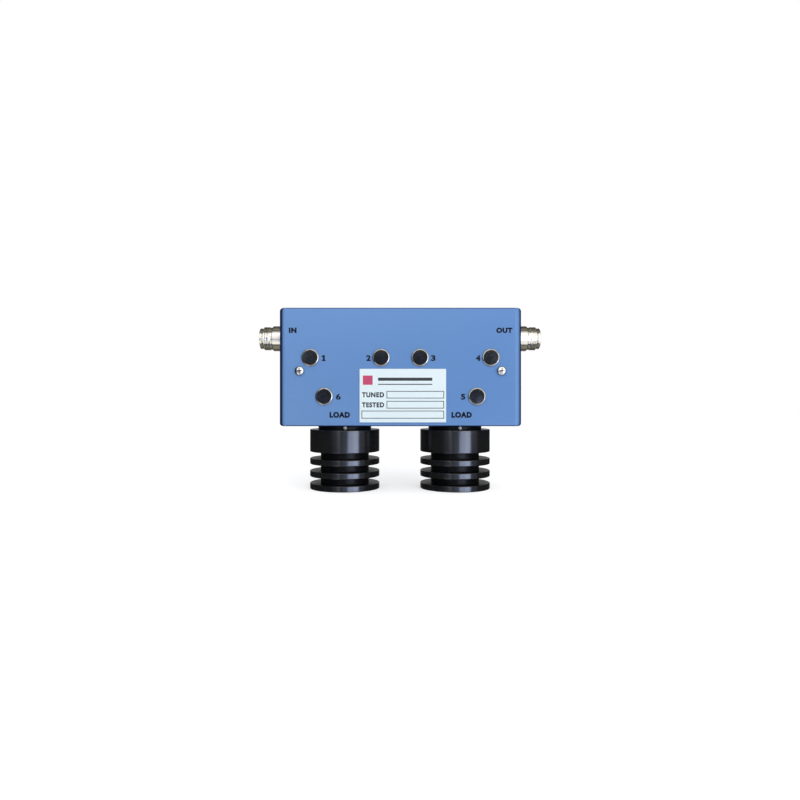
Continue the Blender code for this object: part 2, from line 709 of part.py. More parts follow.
def load_profile():
    """The turned outline of a load, from the floor of its bore round to the mouth."""
    c = FIN_EDGE_RADIUS
    profile = [(0, 0), (LOAD_RADIUS - c, 0)]
    for i in range(FIN_COUNT):
        low = i * (FIN_THICKNESS + FIN_GAP)
        high = low + FIN_THICKNESS
        if i:
            profile += [(CORE_RADIUS, low), (LOAD_RADIUS - c, low)]
        profile += [(LOAD_RADIUS, low + c), (LOAD_RADIUS, high - c), (LOAD_RADIUS - c, high)]
        profile += [(CORE_RADIUS, high)]
    body = LOAD_HEIGHT - LOAD_BODY_LENGTH
    profile += [(CORE_RADIUS, body), (LOAD_RADIUS - c, body), (LOAD_RADIUS, body + c)]
    profile += [(LOAD_RADIUS, LOAD_HEIGHT - c), (LOAD_RADIUS - c, LOAD_HEIGHT)]
    neck = LOAD_HEIGHT + NECK_HEIGHT
    spigot = FLOOR_INSIDE + LOAD_BOSS_HEIGHT + SPIGOT_PAST_BOSS
    profile += [(NECK_RADIUS, LOAD_HEIGHT), (NECK_RADIUS, neck), (SPIGOT_RADIUS, neck)]
    profile += [(SPIGOT_RADIUS, spigot - c), (SPIGOT_RADIUS - c, spigot), (LOAD_BORE_RADIUS, spigot)]
    profile += [(LOAD_BORE_RADIUS, LOAD_BORE_FLOOR), (0, LOAD_BORE_FLOOR)]
    return profile


def lock_screw_mesh():
    """A small dome-head screw. Its head sits on local Z = 0 and faces +Z."""
    dome = arc(0, 0, 1, 0, 67.5, 3)
    profile = [(0, -LOCK_SHANK_LENGTH), (LOCK_SHANK_RADIUS, -LOCK_SHANK_LENGTH), (LOCK_SHANK_RADIUS, 0)]
    profile += [(LOCK_HEAD_RADIUS * x, LOCK_HEAD_HEIGHT * z) for x, z in dome]
    profile += [(0, LOCK_HEAD_HEIGHT)]
    return mesh_of(turned(profile, SMALL_SIDES), "lock_screw")


def resistor_profile():
    """A rod resistor with an end cap, a body and a pin, standing on local Z = 0."""
    cap = LOAD_BORE_RADIUS - SEAT_GAP
    body_top = RESISTOR_LENGTH - RESISTOR_CAP_LENGTH
    pin_top = RESISTOR_LENGTH + RESISTOR_PIN_LENGTH
    return [
        (0, 0),
        (cap, 0),
        (cap, RESISTOR_CAP_LENGTH),
        (RESISTOR_RADIUS, RESISTOR_CAP_LENGTH),
        (RESISTOR_RADIUS, body_top),
        (cap, body_top),
        (cap, RESISTOR_LENGTH),
        (RESISTOR_PIN_RADIUS, RESISTOR_LENGTH),
        (RESISTOR_PIN_RADIUS, pin_top),
        (0, pin_top),
    ]


def loads(black, nickel, ceramic):
    lock_screw = lock_screw_mesh()
    resistor = mesh_of(turned(resistor_profile(), SMALL_SIDES), "load_resistor")
    lock_z = LOAD_HEIGHT + (NECK_HEIGHT + SEAT_GAP) / 2
    outwards = Vector((math.sin(LOCK_SCREW_ANGLE), -math.cos(LOCK_SCREW_ANGLE), 0))
    hole_radius = LOCK_SHANK_RADIUS + SEAT_GAP
    for name, side in ENDS:
        axis = Vector((side * LOAD_X, 0, 0))
        sink = add(f"{name}_load_heat_sink", turned(load_profile(), LOAD_SIDES), black, axis)
        middle = axis + Vector((0, 0, lock_z))
        mouth = middle + outwards * (NECK_RADIUS + LOCK_HEAD_HEIGHT)
        floor = middle + outwards * (NECK_RADIUS - LOCK_SHANK_LENGTH)
        cutter = rods([(hole_radius, floor, mouth)], SMALL_SIDES)
        cut(sink, helper(f"{name}_lock_screw_cutter", cutter))
        seat = middle + outwards * (NECK_RADIUS + SEAT_GAP)
        turn = outwards.to_track_quat("Z", "Y").to_euler()
        add(f"{name}_load_lock_screw", lock_screw, nickel, seat, turn)
        foot = axis + Vector((0, 0, LOAD_BORE_FLOOR + SEAT_GAP))
        add(f"{name}_load_resistor", resistor, ceramic, foot)


def carrier(aluminium):
    """The ground plate behind the junctions, with a post for each front screw."""
    width = 2 * (END_INSIDE - CARRIER_END_INSET)
    bottom = FLOOR_INSIDE + CARRIER_BOTTOM_INSET
    top = BOX_BOTTOM + BOX_HEIGHT - WALL - CARRIER_TOP_INSET
    outline = rounded_rectangle(width, top - bottom, CARRIER_CORNER_RADIUS, (0, (top + bottom) / 2))
    plate = add("carrier_plate", slab(outline, CARRIER_FRONT, CARRIER_REAR), aluminium)
    posts, holes = [], []
    post_front = FRONT_INSIDE + SEAT_GAP
    for _, side in ENDS:
        x = side * FRONT_SCREW_X
        start, end = (x, post_front, FRONT_SCREW_Z), (x, CARRIER_REAR - CARRIER_THICKNESS / 2, FRONT_SCREW_Z)
        posts.append((CARRIER_POST_RADIUS, start, end))
        start = (x, post_front - WALL, FRONT_SCREW_Z)
        end = (x, FRONT_FACE + SCREW_LENGTH + WALL, FRONT_SCREW_Z)
        holes.append((SCREW_HOLE_RADIUS, start, end))
    for _, x, z, _ in TRIMMERS:
        start, end = (x, CARRIER_FRONT - WALL, z), (x, CARRIER_REAR + WALL, z)
        holes.append((ROTOR_SHAFT_RADIUS + SLOT_GAP, start, end))
    join(plate, helper("carrier_posts", rods(posts, INNER_SIDES)))
    cut(plate, helper("carrier_hole_cutters", rods(holes, SMALL_SIDES)))
    for name, side in ENDS:
        slot_height = YOKE_THICKNESS + 2 * SLOT_GAP
        centre = (side * STAGE_X, STAGE_Z + YOKE_WEB_RADIUS + YOKE_THICKNESS / 2)
        slot = rounded_rectangle(YOKE_WEB_WIDTH + 2 * SLOT_GAP, slot_height, SLOT_GAP, centre)
        cut(plate, helper(f"{name}_yoke_slot_cutter", slab(slot, CARRIER_FRONT - WALL, CARRIER_REAR + WALL)))


def conductor_mesh(copper):
    """Three crossed strips: three long arms are the ports, and three short ones fold to ground."""
    half = CONDUCTOR_ARM_WIDTH / 2
    hub = half / math.sin(math.radians(30))
    tab_reach = GROUND_TAB_RADIUS + CONDUCTOR_THICKNESS
    outline = []
    for arm in range(6):
        length = tab_reach if arm % 2 else PORT_ARM_LENGTH
        angle = math.radians(30 + 60 * arm)
        c, s = math.cos(angle), math.sin(angle)
        outline += [(c * length + s * half, s * length - c * half)]
        outline += [(c * length - s * half, s * length + c * half)]
        between = angle + math.radians(30)
        outline.append((hub * math.cos(between), hub * math.sin(between)))
    thickness = CONDUCTOR_THICKNESS
    star = add("centre_conductor", slab(outline, -thickness / 2, thickness / 2), copper)
    tabs = bmesh.new()
    tab_depth = CARRIER_FRONT - SEAT_GAP + thickness / 2
    for arm in (1, 3, 5):
        turn = Matrix.Rotation(-math.radians(30 + 60 * arm), 4, "Y")
        shift = Matrix.Translation((GROUND_TAB_RADIUS + thickness / 2, (tab_depth - thickness) / 2, 0))
        size = Matrix.Diagonal((thickness, tab_depth, CONDUCTOR_ARM_WIDTH, 1))
        bmesh.ops.create_cube(tabs, size=1, matrix=turn @ shift @ size)
    folded = helper("ground_tabs", tabs)
    join(star, folded)
    mesh = shared_mesh(star)
    bpy.data.objects.remove(folded, do_unlink=True)
    return mesh


def yoke_mesh(steel):
    """A folded strip that closes the magnets' circuit, with a round pad on each leg."""
    top = YOKE_WEB_RADIUS + YOKE_THICKNESS / 2
    front = -YOKE_FRONT - YOKE_THICKNESS / 2
    rear = YOKE_REAR + YOKE_THICKNESS / 2
    corners = [(front, 0), (front, top), (rear, top), (rear, 0)]
    bend = YOKE_BEND_RADIUS + YOKE_THICKNESS / 2
    strip = ribbon(rounded_path(corners, bend), YOKE_THICKNESS)
    half = YOKE_WEB_WIDTH / 2
    yoke = add("return_yoke", loft([[(x, y, z) for y, z in strip] for x in (-half, half)]), steel)
    pads = []
    for y in (-YOKE_FRONT, YOKE_REAR + YOKE_THICKNESS):
        pads.append((YOKE_RADIUS, (0, y - YOKE_THICKNESS, 0), (0, y, 0)))
    discs = helper("yoke_pads", rods(pads, INNER_SIDES))
    join(yoke, discs)
    mesh = shared_mesh(yoke)
    bpy.data.objects.remove(discs, do_unlink=True)
    return mesh


def puck_mesh(name, radius, thickness):
    """A flat round piece that lies on local Z = 0."""
    return mesh_of(rods([(radius, (0, 0, 0), (0, 0, thickness))], INNER_SIDES), name)


def stages(copper, ferrite, magnet, steel):
    disc = puck_mesh("ferrite", FERRITE_RADIUS, FERRITE_THICKNESS)
    block = puck_mesh("magnet", MAGNET_RADIUS, MAGNET_THICKNESS)
    conductor = conductor_mesh(copper)
    yoke = yoke_mesh(steel)
    for name, side in ENDS:
        centre = bpy.data.objects.new(f"{name}_stage_centre", None)
        bpy.context.scene.collection.objects.link(centre)
        centre.location = (side * STAGE_X, 0, STAGE_Z)
        add(f"{name}_centre_conductor", conductor, copper, parent=centre)
        add(f"{name}_ferrite_front", disc, ferrite, (0, -FERRITE_FACE, 0), TO_FRONT, centre)
        add(f"{name}_ferrite_rear", disc, ferrite, (0, FERRITE_FACE, 0), TO_BACK, centre)
        add(f"{name}_magnet_front", block, magnet, (0, -FRONT_MAGNET, 0), TO_FRONT, centre)
        add(f"{name}_magnet_rear", block, magnet, (0, REAR_MAGNET, 0), TO_BACK, centre)
        add(f"{name}_return_yoke", yoke, steel, parent=centre)


def stator_mesh(ceramic, name, lug_front):
    """A trimmer's base on its axis at local Y = 0, with a solder lug towards local +X."""
    bore = ROTOR_SHAFT_RADIUS + SEAT_GAP
    profile = [(bore, 0), (STATOR_RADIUS, 0), (STATOR_RADIUS, STATOR_THICKNESS), (bore, STATOR_THICKNESS)]
    bm = turned(profile, SMALL_SIDES)
    bmesh.ops.rotate(bm, verts=bm.verts, cent=(0, 0, 0), matrix=Matrix.Rotation(math.radians(90), 3, "X"))
    bmesh.ops.translate(bm, verts=bm.verts, vec=(0, STATOR_REAR, 0))
    base = add(name, bm, ceramic)
    start = STATOR_RADIUS - LUG_THICKNESS
    rear = (STATOR_FRONT + STATOR_REAR + LUG_THICKNESS) / 2
    lug = [(start, rear - LUG_THICKNESS), (LUG_REACH - LUG_THICKNESS, rear - LUG_THICKNESS)]
    lug += [(LUG_REACH - LUG_THICKNESS, lug_front), (LUG_REACH, lug_front), (LUG_REACH, rear), (start, rear)]
    half = LUG_WIDTH / 2
    folded = helper(f"{name}_lug", loft([[(x, y, z) for x, y in lug] for z in (-half, half)]))
    join(base, folded)
    mesh = shared_mesh(base)
    bpy.data.objects.remove(folded, do_unlink=True)
    return mesh


def rotor_mesh(brass):
    """A trimmer's rotor: slotted head, disc with a half-round electrode, and shaft.

    Local Z = 0 is the plane of the conductors, and the head faces +Z.
    """
    head = -ROTOR_FRONT + ROTOR_HEAD_HEIGHT
    shaft_end = -CARRIER_REAR - ROTOR_SHAFT_PAST_CARRIER
    profile = [
        (0, shaft_end),
        (ROTOR_SHAFT_RADIUS, shaft_end),
        (ROTOR_SHAFT_RADIUS, -ROTOR_REAR),
        (ROTOR_RADIUS, -ROTOR_REAR),
        (ROTOR_RADIUS, -ROTOR_FRONT),
        (ROTOR_HEAD_RADIUS, -ROTOR_FRONT),
        (ROTOR_HEAD_RADIUS, head),
        (0, head),
    ]
    rotor = add("trimmer_rotor", turned(profile, SMALL_SIDES), brass)
    half_round = arc(0, 0, ELECTRODE_RADIUS, 0, 180, 8)
    heights = (-ROTOR_FRONT - ROTOR_THICKNESS / 2, -ROTOR_FRONT + ELECTRODE_THICKNESS)
    electrode = helper("electrode", loft([[(x, y, z) for x, y in half_round] for z in heights]))
    join(rotor, electrode)
    slot = bmesh.new()
    size = Matrix.Diagonal((4 * ROTOR_HEAD_RADIUS, ROTOR_SLOT_WIDTH, 2 * ROTOR_SLOT_DEPTH, 1))
    bmesh.ops.create_cube(slot, size=1, matrix=Matrix.Translation((0, 0, head)) @ size)
    groove = helper("rotor_slot_cutter", slot)
    cut(rotor, groove)
    mesh = shared_mesh(rotor)
    for used in (electrode, groove):
        bpy.data.objects.remove(used, do_unlink=True)
    return mesh


def trimmers(ceramic, brass):
    port_stator = stator_mesh(ceramic, "port_stator", CONDUCTOR_THICKNESS / 2 + SEAT_GAP)
    load_stator = stator_mesh(ceramic, "load_stator", LINK_REAR + SEAT_GAP)
    rotor = rotor_mesh(brass)
    for number, x, z, towards in TRIMMERS:
        stator = load_stator if z == LOAD_TRIMMER_Z else port_stator
        turn = (0, 0 if towards > 0 else math.pi, 0)
        add(f"trimmer_{number}_stator", stator, ceramic, (x, 0, z), turn)
        add(f"trimmer_{number}_rotor", rotor, brass, (x, 0, z), TO_FRONT)


def links(copper):
    """Flat strips between the jacks, the junction ports and the load pins."""
    port_x = STAGE_X + PORT_REACH
    port_z = STAGE_Z + PORT_RISE
    pin_gap = JACK_PIN_END - SEAT_GAP
    for name, side in ENDS:
        corners = [(side * pin_gap, JACK_Z), (side * port_x, JACK_Z), (side * port_x, port_z)]
        outline = ribbon(rounded_path(corners, LINK_BEND_RADIUS), LINK_WIDTH)
        add(f"{name}_link", slab(outline, LINK_FRONT, LINK_REAR), copper)
        add(f"{name}_load_link", slab(load_link_outline(side), LINK_FRONT, LINK_REAR), copper)
    inner_x = STAGE_X - PORT_REACH
    low = UPPER_TRIMMER_Z - INTERSTAGE_DROP
    corners = [(-inner_x, port_z), (-inner_x, low), (inner_x, low), (inner_x, port_z)]
    outline = ribbon(rounded_path(corners, LINK_BEND_RADIUS), LINK_WIDTH)
    add("interstage_link", slab(outline, LINK_FRONT, LINK_REAR), copper)


def load_link_outline(side):
    """A T from the junction's load port to the trimmer's lug, with a leg down to the load."""
    half = LINK_WIDTH / 2
    near = STAGE_X - half
    far = LOAD_TRIMMER_X - LUG_REACH + LUG_THICKNESS
    top = LOAD_TRIMMER_Z + half
    bar = LOAD_TRIMMER_Z - half
    foot = LOAD_PIN_TOP + SEAT_GAP
    points = [
        (near, top),
        (near, bar),
        (LOAD_X - half, bar),
        (LOAD_X - half, foot),
        (LOAD_X + half, foot),
        (LOAD_X + half, bar),
        (far, bar),
        (far, top),
    ]
    return [(side * x, z) for x, z in points]


def build():
    clear_scene()
    blue = material("blue anodised aluminium", (0.14, 0.29, 0.60), 0.35, 0.6)
    black = material("black anodised aluminium", (0.012, 0.013, 0.015), 0.35, 0.4)
    nickel = material("nickel plate", (0.66, 0.65, 0.60), 0.22, 1.0)
    plated = material("dark nickel plate", (0.30, 0.30, 0.31), 0.25, 1.0)
    white = material("white label", (0.80, 0.86, 0.88), 0.45, 0.0)
    white_plastic = material("white insulator", (0.85, 0.85, 0.83), 0.5, 0.0)
    gold = material("gold plate", (0.80, 0.56, 0.20), 0.25, 1.0)
    brass = material("brass", (0.70, 0.52, 0.24), 0.35, 1.0)
    copper = material("silver-plated copper", (0.72, 0.70, 0.66), 0.3, 1.0)
    ceramic = material("ceramic", (0.75, 0.72, 0.66), 0.6, 0.0)
    ferrite = material("ferrite", (0.05, 0.05, 0.055), 0.5, 0.0)
    magnet = material("magnet", (0.10, 0.10, 0.10), 0.55, 0.2)
    steel = material("zinc-plated steel", (0.55, 0.55, 0.54), 0.35, 1.0)
    aluminium = material("bare aluminium", (0.70, 0.70, 0.70), 0.4, 1.0)

    housing(blue)
    back_plate(blue)
    screws(nickel)
    plugs(plated)
    label(white)
    jacks(nickel, white_plastic, gold)
    loads(black, nickel, ceramic)
    carrier(aluminium)
    stages(copper, ferrite, magnet, steel)
    trimmers(ceramic, brass)
    links(copper)


build()
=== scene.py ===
"""Looks of the dual RF isolator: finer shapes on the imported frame, materials, light and camera.

Metres, +Z up. The front of the box faces -Y, and X runs from the input jack to the output jack.
"""

import math

import bmesh
import bpy
from mathutils import Matrix, Vector

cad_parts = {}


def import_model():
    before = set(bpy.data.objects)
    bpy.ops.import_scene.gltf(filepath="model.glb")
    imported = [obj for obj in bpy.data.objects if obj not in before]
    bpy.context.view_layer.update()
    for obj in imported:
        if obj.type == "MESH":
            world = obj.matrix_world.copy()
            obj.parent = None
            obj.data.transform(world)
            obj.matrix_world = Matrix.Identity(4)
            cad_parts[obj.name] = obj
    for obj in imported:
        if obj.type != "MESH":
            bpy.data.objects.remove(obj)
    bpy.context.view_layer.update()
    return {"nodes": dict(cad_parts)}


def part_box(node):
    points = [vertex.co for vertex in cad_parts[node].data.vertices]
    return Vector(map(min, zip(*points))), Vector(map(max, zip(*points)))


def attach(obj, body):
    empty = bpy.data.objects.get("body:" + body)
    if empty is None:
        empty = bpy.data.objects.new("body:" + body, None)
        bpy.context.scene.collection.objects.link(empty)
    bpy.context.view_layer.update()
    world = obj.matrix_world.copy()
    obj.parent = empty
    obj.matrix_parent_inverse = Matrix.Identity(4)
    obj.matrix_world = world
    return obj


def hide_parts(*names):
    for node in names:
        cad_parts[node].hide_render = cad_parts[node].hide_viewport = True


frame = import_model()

MM = 0.001
ROOT = "isolator"

# Sizes that the finer shapes share with the solids
SEAT_GAP = 0.3 * MM
WALL = 2.4 * MM
BACK_PLATE_THICKNESS = 2.0 * MM
SIDE_EDGE_RADIUS = 3.0 * MM
SIDE_EDGE_WIDTH = 4.5 * MM
TOP_EDGE_RADIUS = 0.8 * MM
# How far past the rounding of the side edges the painted edge shade reaches
PAINTED_EDGE_SHADE_REACH = 0.5 * MM
CORNER_RADIUS = 2.0 * MM
POCKET_CORNER_RADIUS = 3.0 * MM
PLATE_EDGE_RADIUS = 0.5 * MM
SCREW_POST_RADIUS = 3.5 * MM
SCREW_POST_SINK = 1.3 * MM
SCREW_POST_LENGTH = 13.0 * MM
LOAD_BOSS_RADIUS = 10.0 * MM
LOAD_BOSS_HEIGHT = 3.0 * MM
SCREW_RADIUS = 1.4 * MM
SCREW_HOLE_RADIUS = SCREW_RADIUS + SEAT_GAP
SCREW_POINT_RADIUS = 1.0 * MM
SCREW_POINT_LENGTH = 1.4 * MM
SCREW_LENGTH = 9.0 * MM
SCREW_HEAD_RADIUS = 3.0 * MM
SCREW_HEAD_HEIGHT = 1.9 * MM
SCREW_HEAD_EDGE = 0.75 * MM
SCREW_UNDERSIDE_EDGE = 0.1 * MM
SCREW_PITCH = 0.6 * MM
SCREW_THREAD_DEPTH = 0.3 * MM
RECESS_REACH = 1.75 * MM
RECESS_WIDTH = 0.8 * MM
RECESS_FLOOR_REACH = 0.6 * MM
RECESS_FLOOR_WIDTH = 0.5 * MM
RECESS_DEPTH = 1.2 * MM
PLUG_RADIUS = 5.6 * MM
PLUG_RIM_WIDTH = 0.85 * MM
PLUG_RIM_HEIGHT = 0.9 * MM
PLUG_CREST_WIDTH = 0.15 * MM
PLUG_EDGE_HEIGHT = 0.68 * MM
PLUG_METAL = 0.5 * MM
PLUG_TURN_IN = 0.25 * MM
PLUG_CREST_EDGE = 0.05 * MM
PLUG_FOLD = 0.12 * MM
PLUG_CROWN = 0.03 * MM
PLUG_CROWN_HALFWAY = 0.02 * MM
# Where the brighter rim of the painted highlight starts, past the crest
PLUG_HIGHLIGHT_START = 0.15 * MM
PLUG_HOLE_RADIUS = 4.75 * MM
PLUG_LEG_LENGTH = 4.6 * MM
PLUG_LEG_COUNT = 6
PLUG_SLOT_WIDTH = 1.6 * MM
PLUG_BARB = 0.5 * MM
LABEL_CORNER_RADIUS = 0.4 * MM
LABEL_BEVEL = 0.06 * MM
COLLAR_RADIUS = 8.6 * MM
COLLAR_LENGTH = 8.05 * MM
UNDERCUT_RADIUS = 7.6 * MM
UNDERCUT_LENGTH = 1.45 * MM
THREAD_RADIUS = 7.94 * MM
THREAD_LENGTH = 4.8 * MM
THREAD_PITCH = 25.4 / 24 * MM
THREAD_DEPTH = 0.1 * MM
# How far the cut stays off both ends, in chamfers, and its flanks, in shares of half a pitch
THREAD_CUT_START = 2.2
THREAD_CUT_END = 1.2
THREAD_FLANK_START = 0.7
THREAD_FLANK_WIDTH = 0.6
NOSE_RADIUS = 7.05 * MM
NOSE_LENGTH = 2.35 * MM
JACK_CHAMFER = 0.45 * MM
JACK_EDGE = 0.12 * MM
NOSE_GROOVE = 0.5 * MM
NOSE_EDGE = 0.12 * MM
SOCKET_RADIUS = 4.3 * MM
SOCKET_DEPTH = 9.1 * MM
JACK_SHANK_RADIUS = 6.35 * MM
JACK_SHANK_PAST_NUT = 0.8 * MM
NUT_THICKNESS = 3.0 * MM
INSULATOR_BORE_RADIUS = 4.9 * MM
INSULATOR_EDGE = 0.15 * MM
CONTACT_RADIUS = 1.55 * MM
CONTACT_BORE_RADIUS = 0.85 * MM
CONTACT_BORE_DEPTH = 4.0 * MM
CONTACT_RECESS = 4.5 * MM
CONTACT_SLIT_WIDTH = 0.35 * MM
CONTACT_SLIT_DEPTH = 3.2 * MM
CONTACT_CHAMFER = 0.35 * MM
CONTACT_EDGE = 0.05 * MM
CONTACT_STEM_RADIUS = 1.1 * MM
SOLDER_PIN_RADIUS = 0.8 * MM
SOLDER_PIN_LENGTH = 5.0 * MM
LOAD_RADIUS = 23.8 * MM
LOAD_BODY_LENGTH = 15.1 * MM
FIN_COUNT = 3
FIN_THICKNESS = 3.95 * MM
FIN_GAP = 4.46 * MM
FIN_EDGE_RADIUS = 0.5 * MM
FIN_EDGE_STEPS = 5
CORE_RADIUS = 16.5 * MM
NECK_RADIUS = 18.1 * MM
NECK_HEIGHT = 2.6 * MM
SPIGOT_RADIUS = 6.35 * MM
SPIGOT_PAST_BOSS = 0.6 * MM
LOAD_BORE_RADIUS = 4.0 * MM
LOAD_BORE_FLOOR = 14.0 * MM
LOCK_SCREW_ANGLE = math.radians(5)
LOCK_HEAD_RADIUS = 1.2 * MM
LOCK_HEAD_HEIGHT = 0.9 * MM
LOCK_SHANK_RADIUS = 0.6 * MM
LOCK_SHANK_LENGTH = 5.0 * MM

# Places read from the solids
BOX_LOW, BOX_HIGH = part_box("housing")
PLATE_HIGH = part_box("back_plate")[1]
LABEL_LOW, LABEL_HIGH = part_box("label_plate")
BOX_WIDTH = BOX_HIGH.x - BOX_LOW.x
BOX_HEIGHT = BOX_HIGH.z - BOX_LOW.z
BOX_CENTRE = (BOX_LOW.z + BOX_HIGH.z) / 2
FRONT_FACE = BOX_LOW.y
FRONT_INSIDE = FRONT_FACE + WALL
BACK_RIM = BOX_HIGH.y
BACK_FACE = PLATE_HIGH.y
END_FACE = BOX_HIGH.x
END_INSIDE = END_FACE - WALL
FLOOR_INSIDE = BOX_LOW.z + WALL
LOAD_HEIGHT = FIN_COUNT * (FIN_THICKNESS + FIN_GAP) + LOAD_BODY_LENGTH

# Facets
LOAD_SIDES = 128
JACK_SIDES = 128
ROUND_SIDES = 64
SMALL_SIDES = 32
CORNER_STEPS = 8
EDGE_STEPS = 10
THREAD_STEPS = 14
THREAD_RUN_OUT = 1.5
PANEL_FACET = 8
SMOOTH_ANGLE = math.radians(32)
# The most of a side that a rounded corner may take up
EASED_SHARE = 0.45

TO_FRONT = (math.radians(90), 0, 0)
TO_BACK = (math.radians(-90), 0, 0)
ENDS = (("input", -1), ("output", 1))


def middle_of(node):
    """The middle of a node's box."""
    low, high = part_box(node)
    return (low + high) / 2


def places(node, keys):
    """The keys of a row of nodes, each with its middle across and up."""
    middles = [middle_of(f"{node}_{key}") for key in keys]
    return [(key, middle.x, middle.z) for key, middle in zip(keys, middles)]


JACK_Z = middle_of("input_jack_body").z
LOAD_X = middle_of("output_load_heat_sink").x
PLUGS = places("hole_plug", range(1, 7))
FRONT_SCREWS = places("front_screw", ("left", "right"))
BACK_SCREWS = places("back_screw", range(1, 5))


# Shapes


def shade(mesh):
    """Smooth shading with sharp corners."""
    mesh.shade_smooth()
    mesh.set_sharp_from_angle(angle=SMOOTH_ANGLE)


def add(name, shape, location=(0, 0, 0), rotation=(0, 0, 0)):
    """An object of this name, from a bmesh or from a mesh that it shares."""
    if isinstance(shape, bmesh.types.BMesh):
        bmesh.ops.recalc_face_normals(shape, faces=shape.faces)
        mesh = bpy.data.meshes.new(name)
        shape.to_mesh(mesh)
        shape.free()
        shade(mesh)
        shape = mesh
    obj = bpy.data.objects.new(name, shape)
    bpy.context.scene.collection.objects.link(obj)
    obj.location = location
    obj.rotation_euler = rotation
    return obj


def mesh_of(obj):
    """The mesh of an object, which goes."""
    mesh = obj.data
    bpy.data.objects.remove(obj, do_unlink=True)
    return mesh


def applied(obj):
    """A new mesh of an object, with its modifiers or its text made real."""
    graph = bpy.context.evaluated_depsgraph_get()
    return bpy.data.meshes.new_from_object(obj.evaluated_get(graph))


def dress(obj, material, slot, *nodes):
    """Gives a piece its material, and lets it ride in place of CAD nodes. Its slot is not used."""
    if not obj.data.materials:
        obj.data.materials.append(material)
    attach(obj, ROOT)
    if nodes:
        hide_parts(*nodes)
    return obj


def carve(obj, *cutters, operation="DIFFERENCE", use_self=False):
    """Applies Booleans to obj and removes the cutters."""
    for cutter in cutters:
        modifier = obj.modifiers.new("boolean", "BOOLEAN")
        modifier.operation = operation
        modifier.solver = "EXACT"
        modifier.use_self = use_self
        modifier.object = cutter
    mesh = applied(obj)
    obj.modifiers.clear()
    obj.data = mesh
    mesh.name = obj.name
    shade(mesh)
    for cutter in cutters:
        bpy.data.objects.remove(cutter, do_unlink=True)
    return obj


def keep_flats(obj):
    """Keeps flat faces flat in the shading, so that only the rounded edges bend the light."""
    modifier = obj.modifiers.new("flat faces", "WEIGHTED_NORMAL")
    modifier.keep_sharp = True
    return obj


def loft(sections):
    """A solid through closed sections that have the same number of points."""
    bm = bmesh.new()
    rings = [[bm.verts.new(point) for point in section] for section in sections]
    for low, high in zip(rings, rings[1:]):
        for i in range(len(low)):
            j = (i + 1) % len(low)
            bm.faces.new((low[i], low[j], high[j], high[i]))
    bm.faces.new(rings[0])
    bm.faces.new(rings[-1])
    return bm


def slab(outline, front, back):
    """A flat piece: an outline in front view, from one depth to another."""
    return loft([[(x, y, z) for x, z in outline] for y in (front, back)])


def turned(profile, sides):
    """A solid of revolution about local Z from (radius, height) points.

    A radius may be a function of the angle. A profile that starts on the axis ends on it,
    and any other is a closed ring.
    """
    bm = bmesh.new()
    angles = [math.tau * i / sides for i in range(sides)]
    rings = []
    for radius, height in profile:
        if not callable(radius) and radius == 0:
            rings.append([bm.verts.new((0, 0, height))])
            continue
        radii = [radius(a) if callable(radius) else radius for a in angles]
        spots = [(r * math.cos(a), r * math.sin(a), height) for r, a in zip(radii, angles)]
        rings.append([bm.verts.new(spot) for spot in spots])
    pairs = list(zip(rings, rings[1:]))
    if len(rings[0]) > 1:
        pairs.append((rings[-1], rings[0]))
    for low, high in pairs:
        for i in range(sides):
            j = (i + 1) % sides
            around = [low[i % len(low)], low[j % len(low)], high[j % len(high)], high[i % len(high)]]
            bm.faces.new(list(dict.fromkeys(around)))
    return bm


def rods(places, sides):
    """Straight rods in one mesh, each from a radius, a start and an end."""
    bm = bmesh.new()
    for radius, start, end in places:
        along = Vector(end) - Vector(start)
        turn = Vector((0, 0, 1)).rotation_difference(along).to_matrix().to_4x4()
        middle = Matrix.Translation((Vector(start) + Vector(end)) / 2)
        bmesh.ops.create_cone(
            bm,
            cap_ends=True,
            segments=sides,
            radius1=radius,
            radius2=radius,
            depth=along.length,
            matrix=middle @ turn,
        )
    return bm


def arc(centre_x, centre_z, radius, start, end, steps):
    """Points of an arc from one angle to another, in degrees."""
    angles = [math.radians(start + (end - start) * i / steps) for i in range(steps + 1)]
    return [(centre_x + radius * math.cos(a), centre_z + radius * math.sin(a)) for a in angles]


def rounded_rectangle(width, height, radius, centre):
    """The outline of a rectangle with round corners, in front view."""
    points = []
    corners = ((1, 1, 0), (-1, 1, 90), (-1, -1, 180), (1, -1, 270))
    for across, up, start in corners:
        x = centre[0] + across * (width / 2 - radius)
        z = centre[1] + up * (height / 2 - radius)
        points += arc(x, z, radius, start, start + 90, CORNER_STEPS)
    return points


def eased(profile, radius, steps=3):
    """A closed profile with its corners rounded, apart from its points on the axis."""
    points = []
    count = len(profile)
    for i, (x, y) in enumerate(profile):
        corner = Vector((x, y))
        back = Vector(profile[i - 1]) - corner
        on = Vector(profile[(i + 1) % count]) - corner
        half = back.angle(on) / 2
        reach = radius / math.tan(half) if half < math.radians(89) else 0
        reach = min(reach, back.length * EASED_SHARE, on.length * EASED_SHARE)
        if x == 0 or reach == 0:
            points.append((x, y))
            continue
        start, end = corner + back.normalized() * reach, corner + on.normalized() * reach
        for step in range(steps + 1):
            t = step / steps
            point = start * (1 - t) ** 2 + corner * 2 * t * (1 - t) + end * t**2
            points.append((point.x, point.y))
    return points


def thread(radius, depth, pitch, start, end):
    """Rings of a right-hand thread that runs out at both ends."""
    count = math.ceil((end - start) / pitch * THREAD_STEPS)
    rings = []
    for i in range(count + 1):
        height = start + (end - start) * i / count
        run_out = min(1, min(i, count - i) / THREAD_STEPS * THREAD_RUN_OUT)
        rings.append((groove(radius, depth * run_out, height / pitch), height))
    return rings


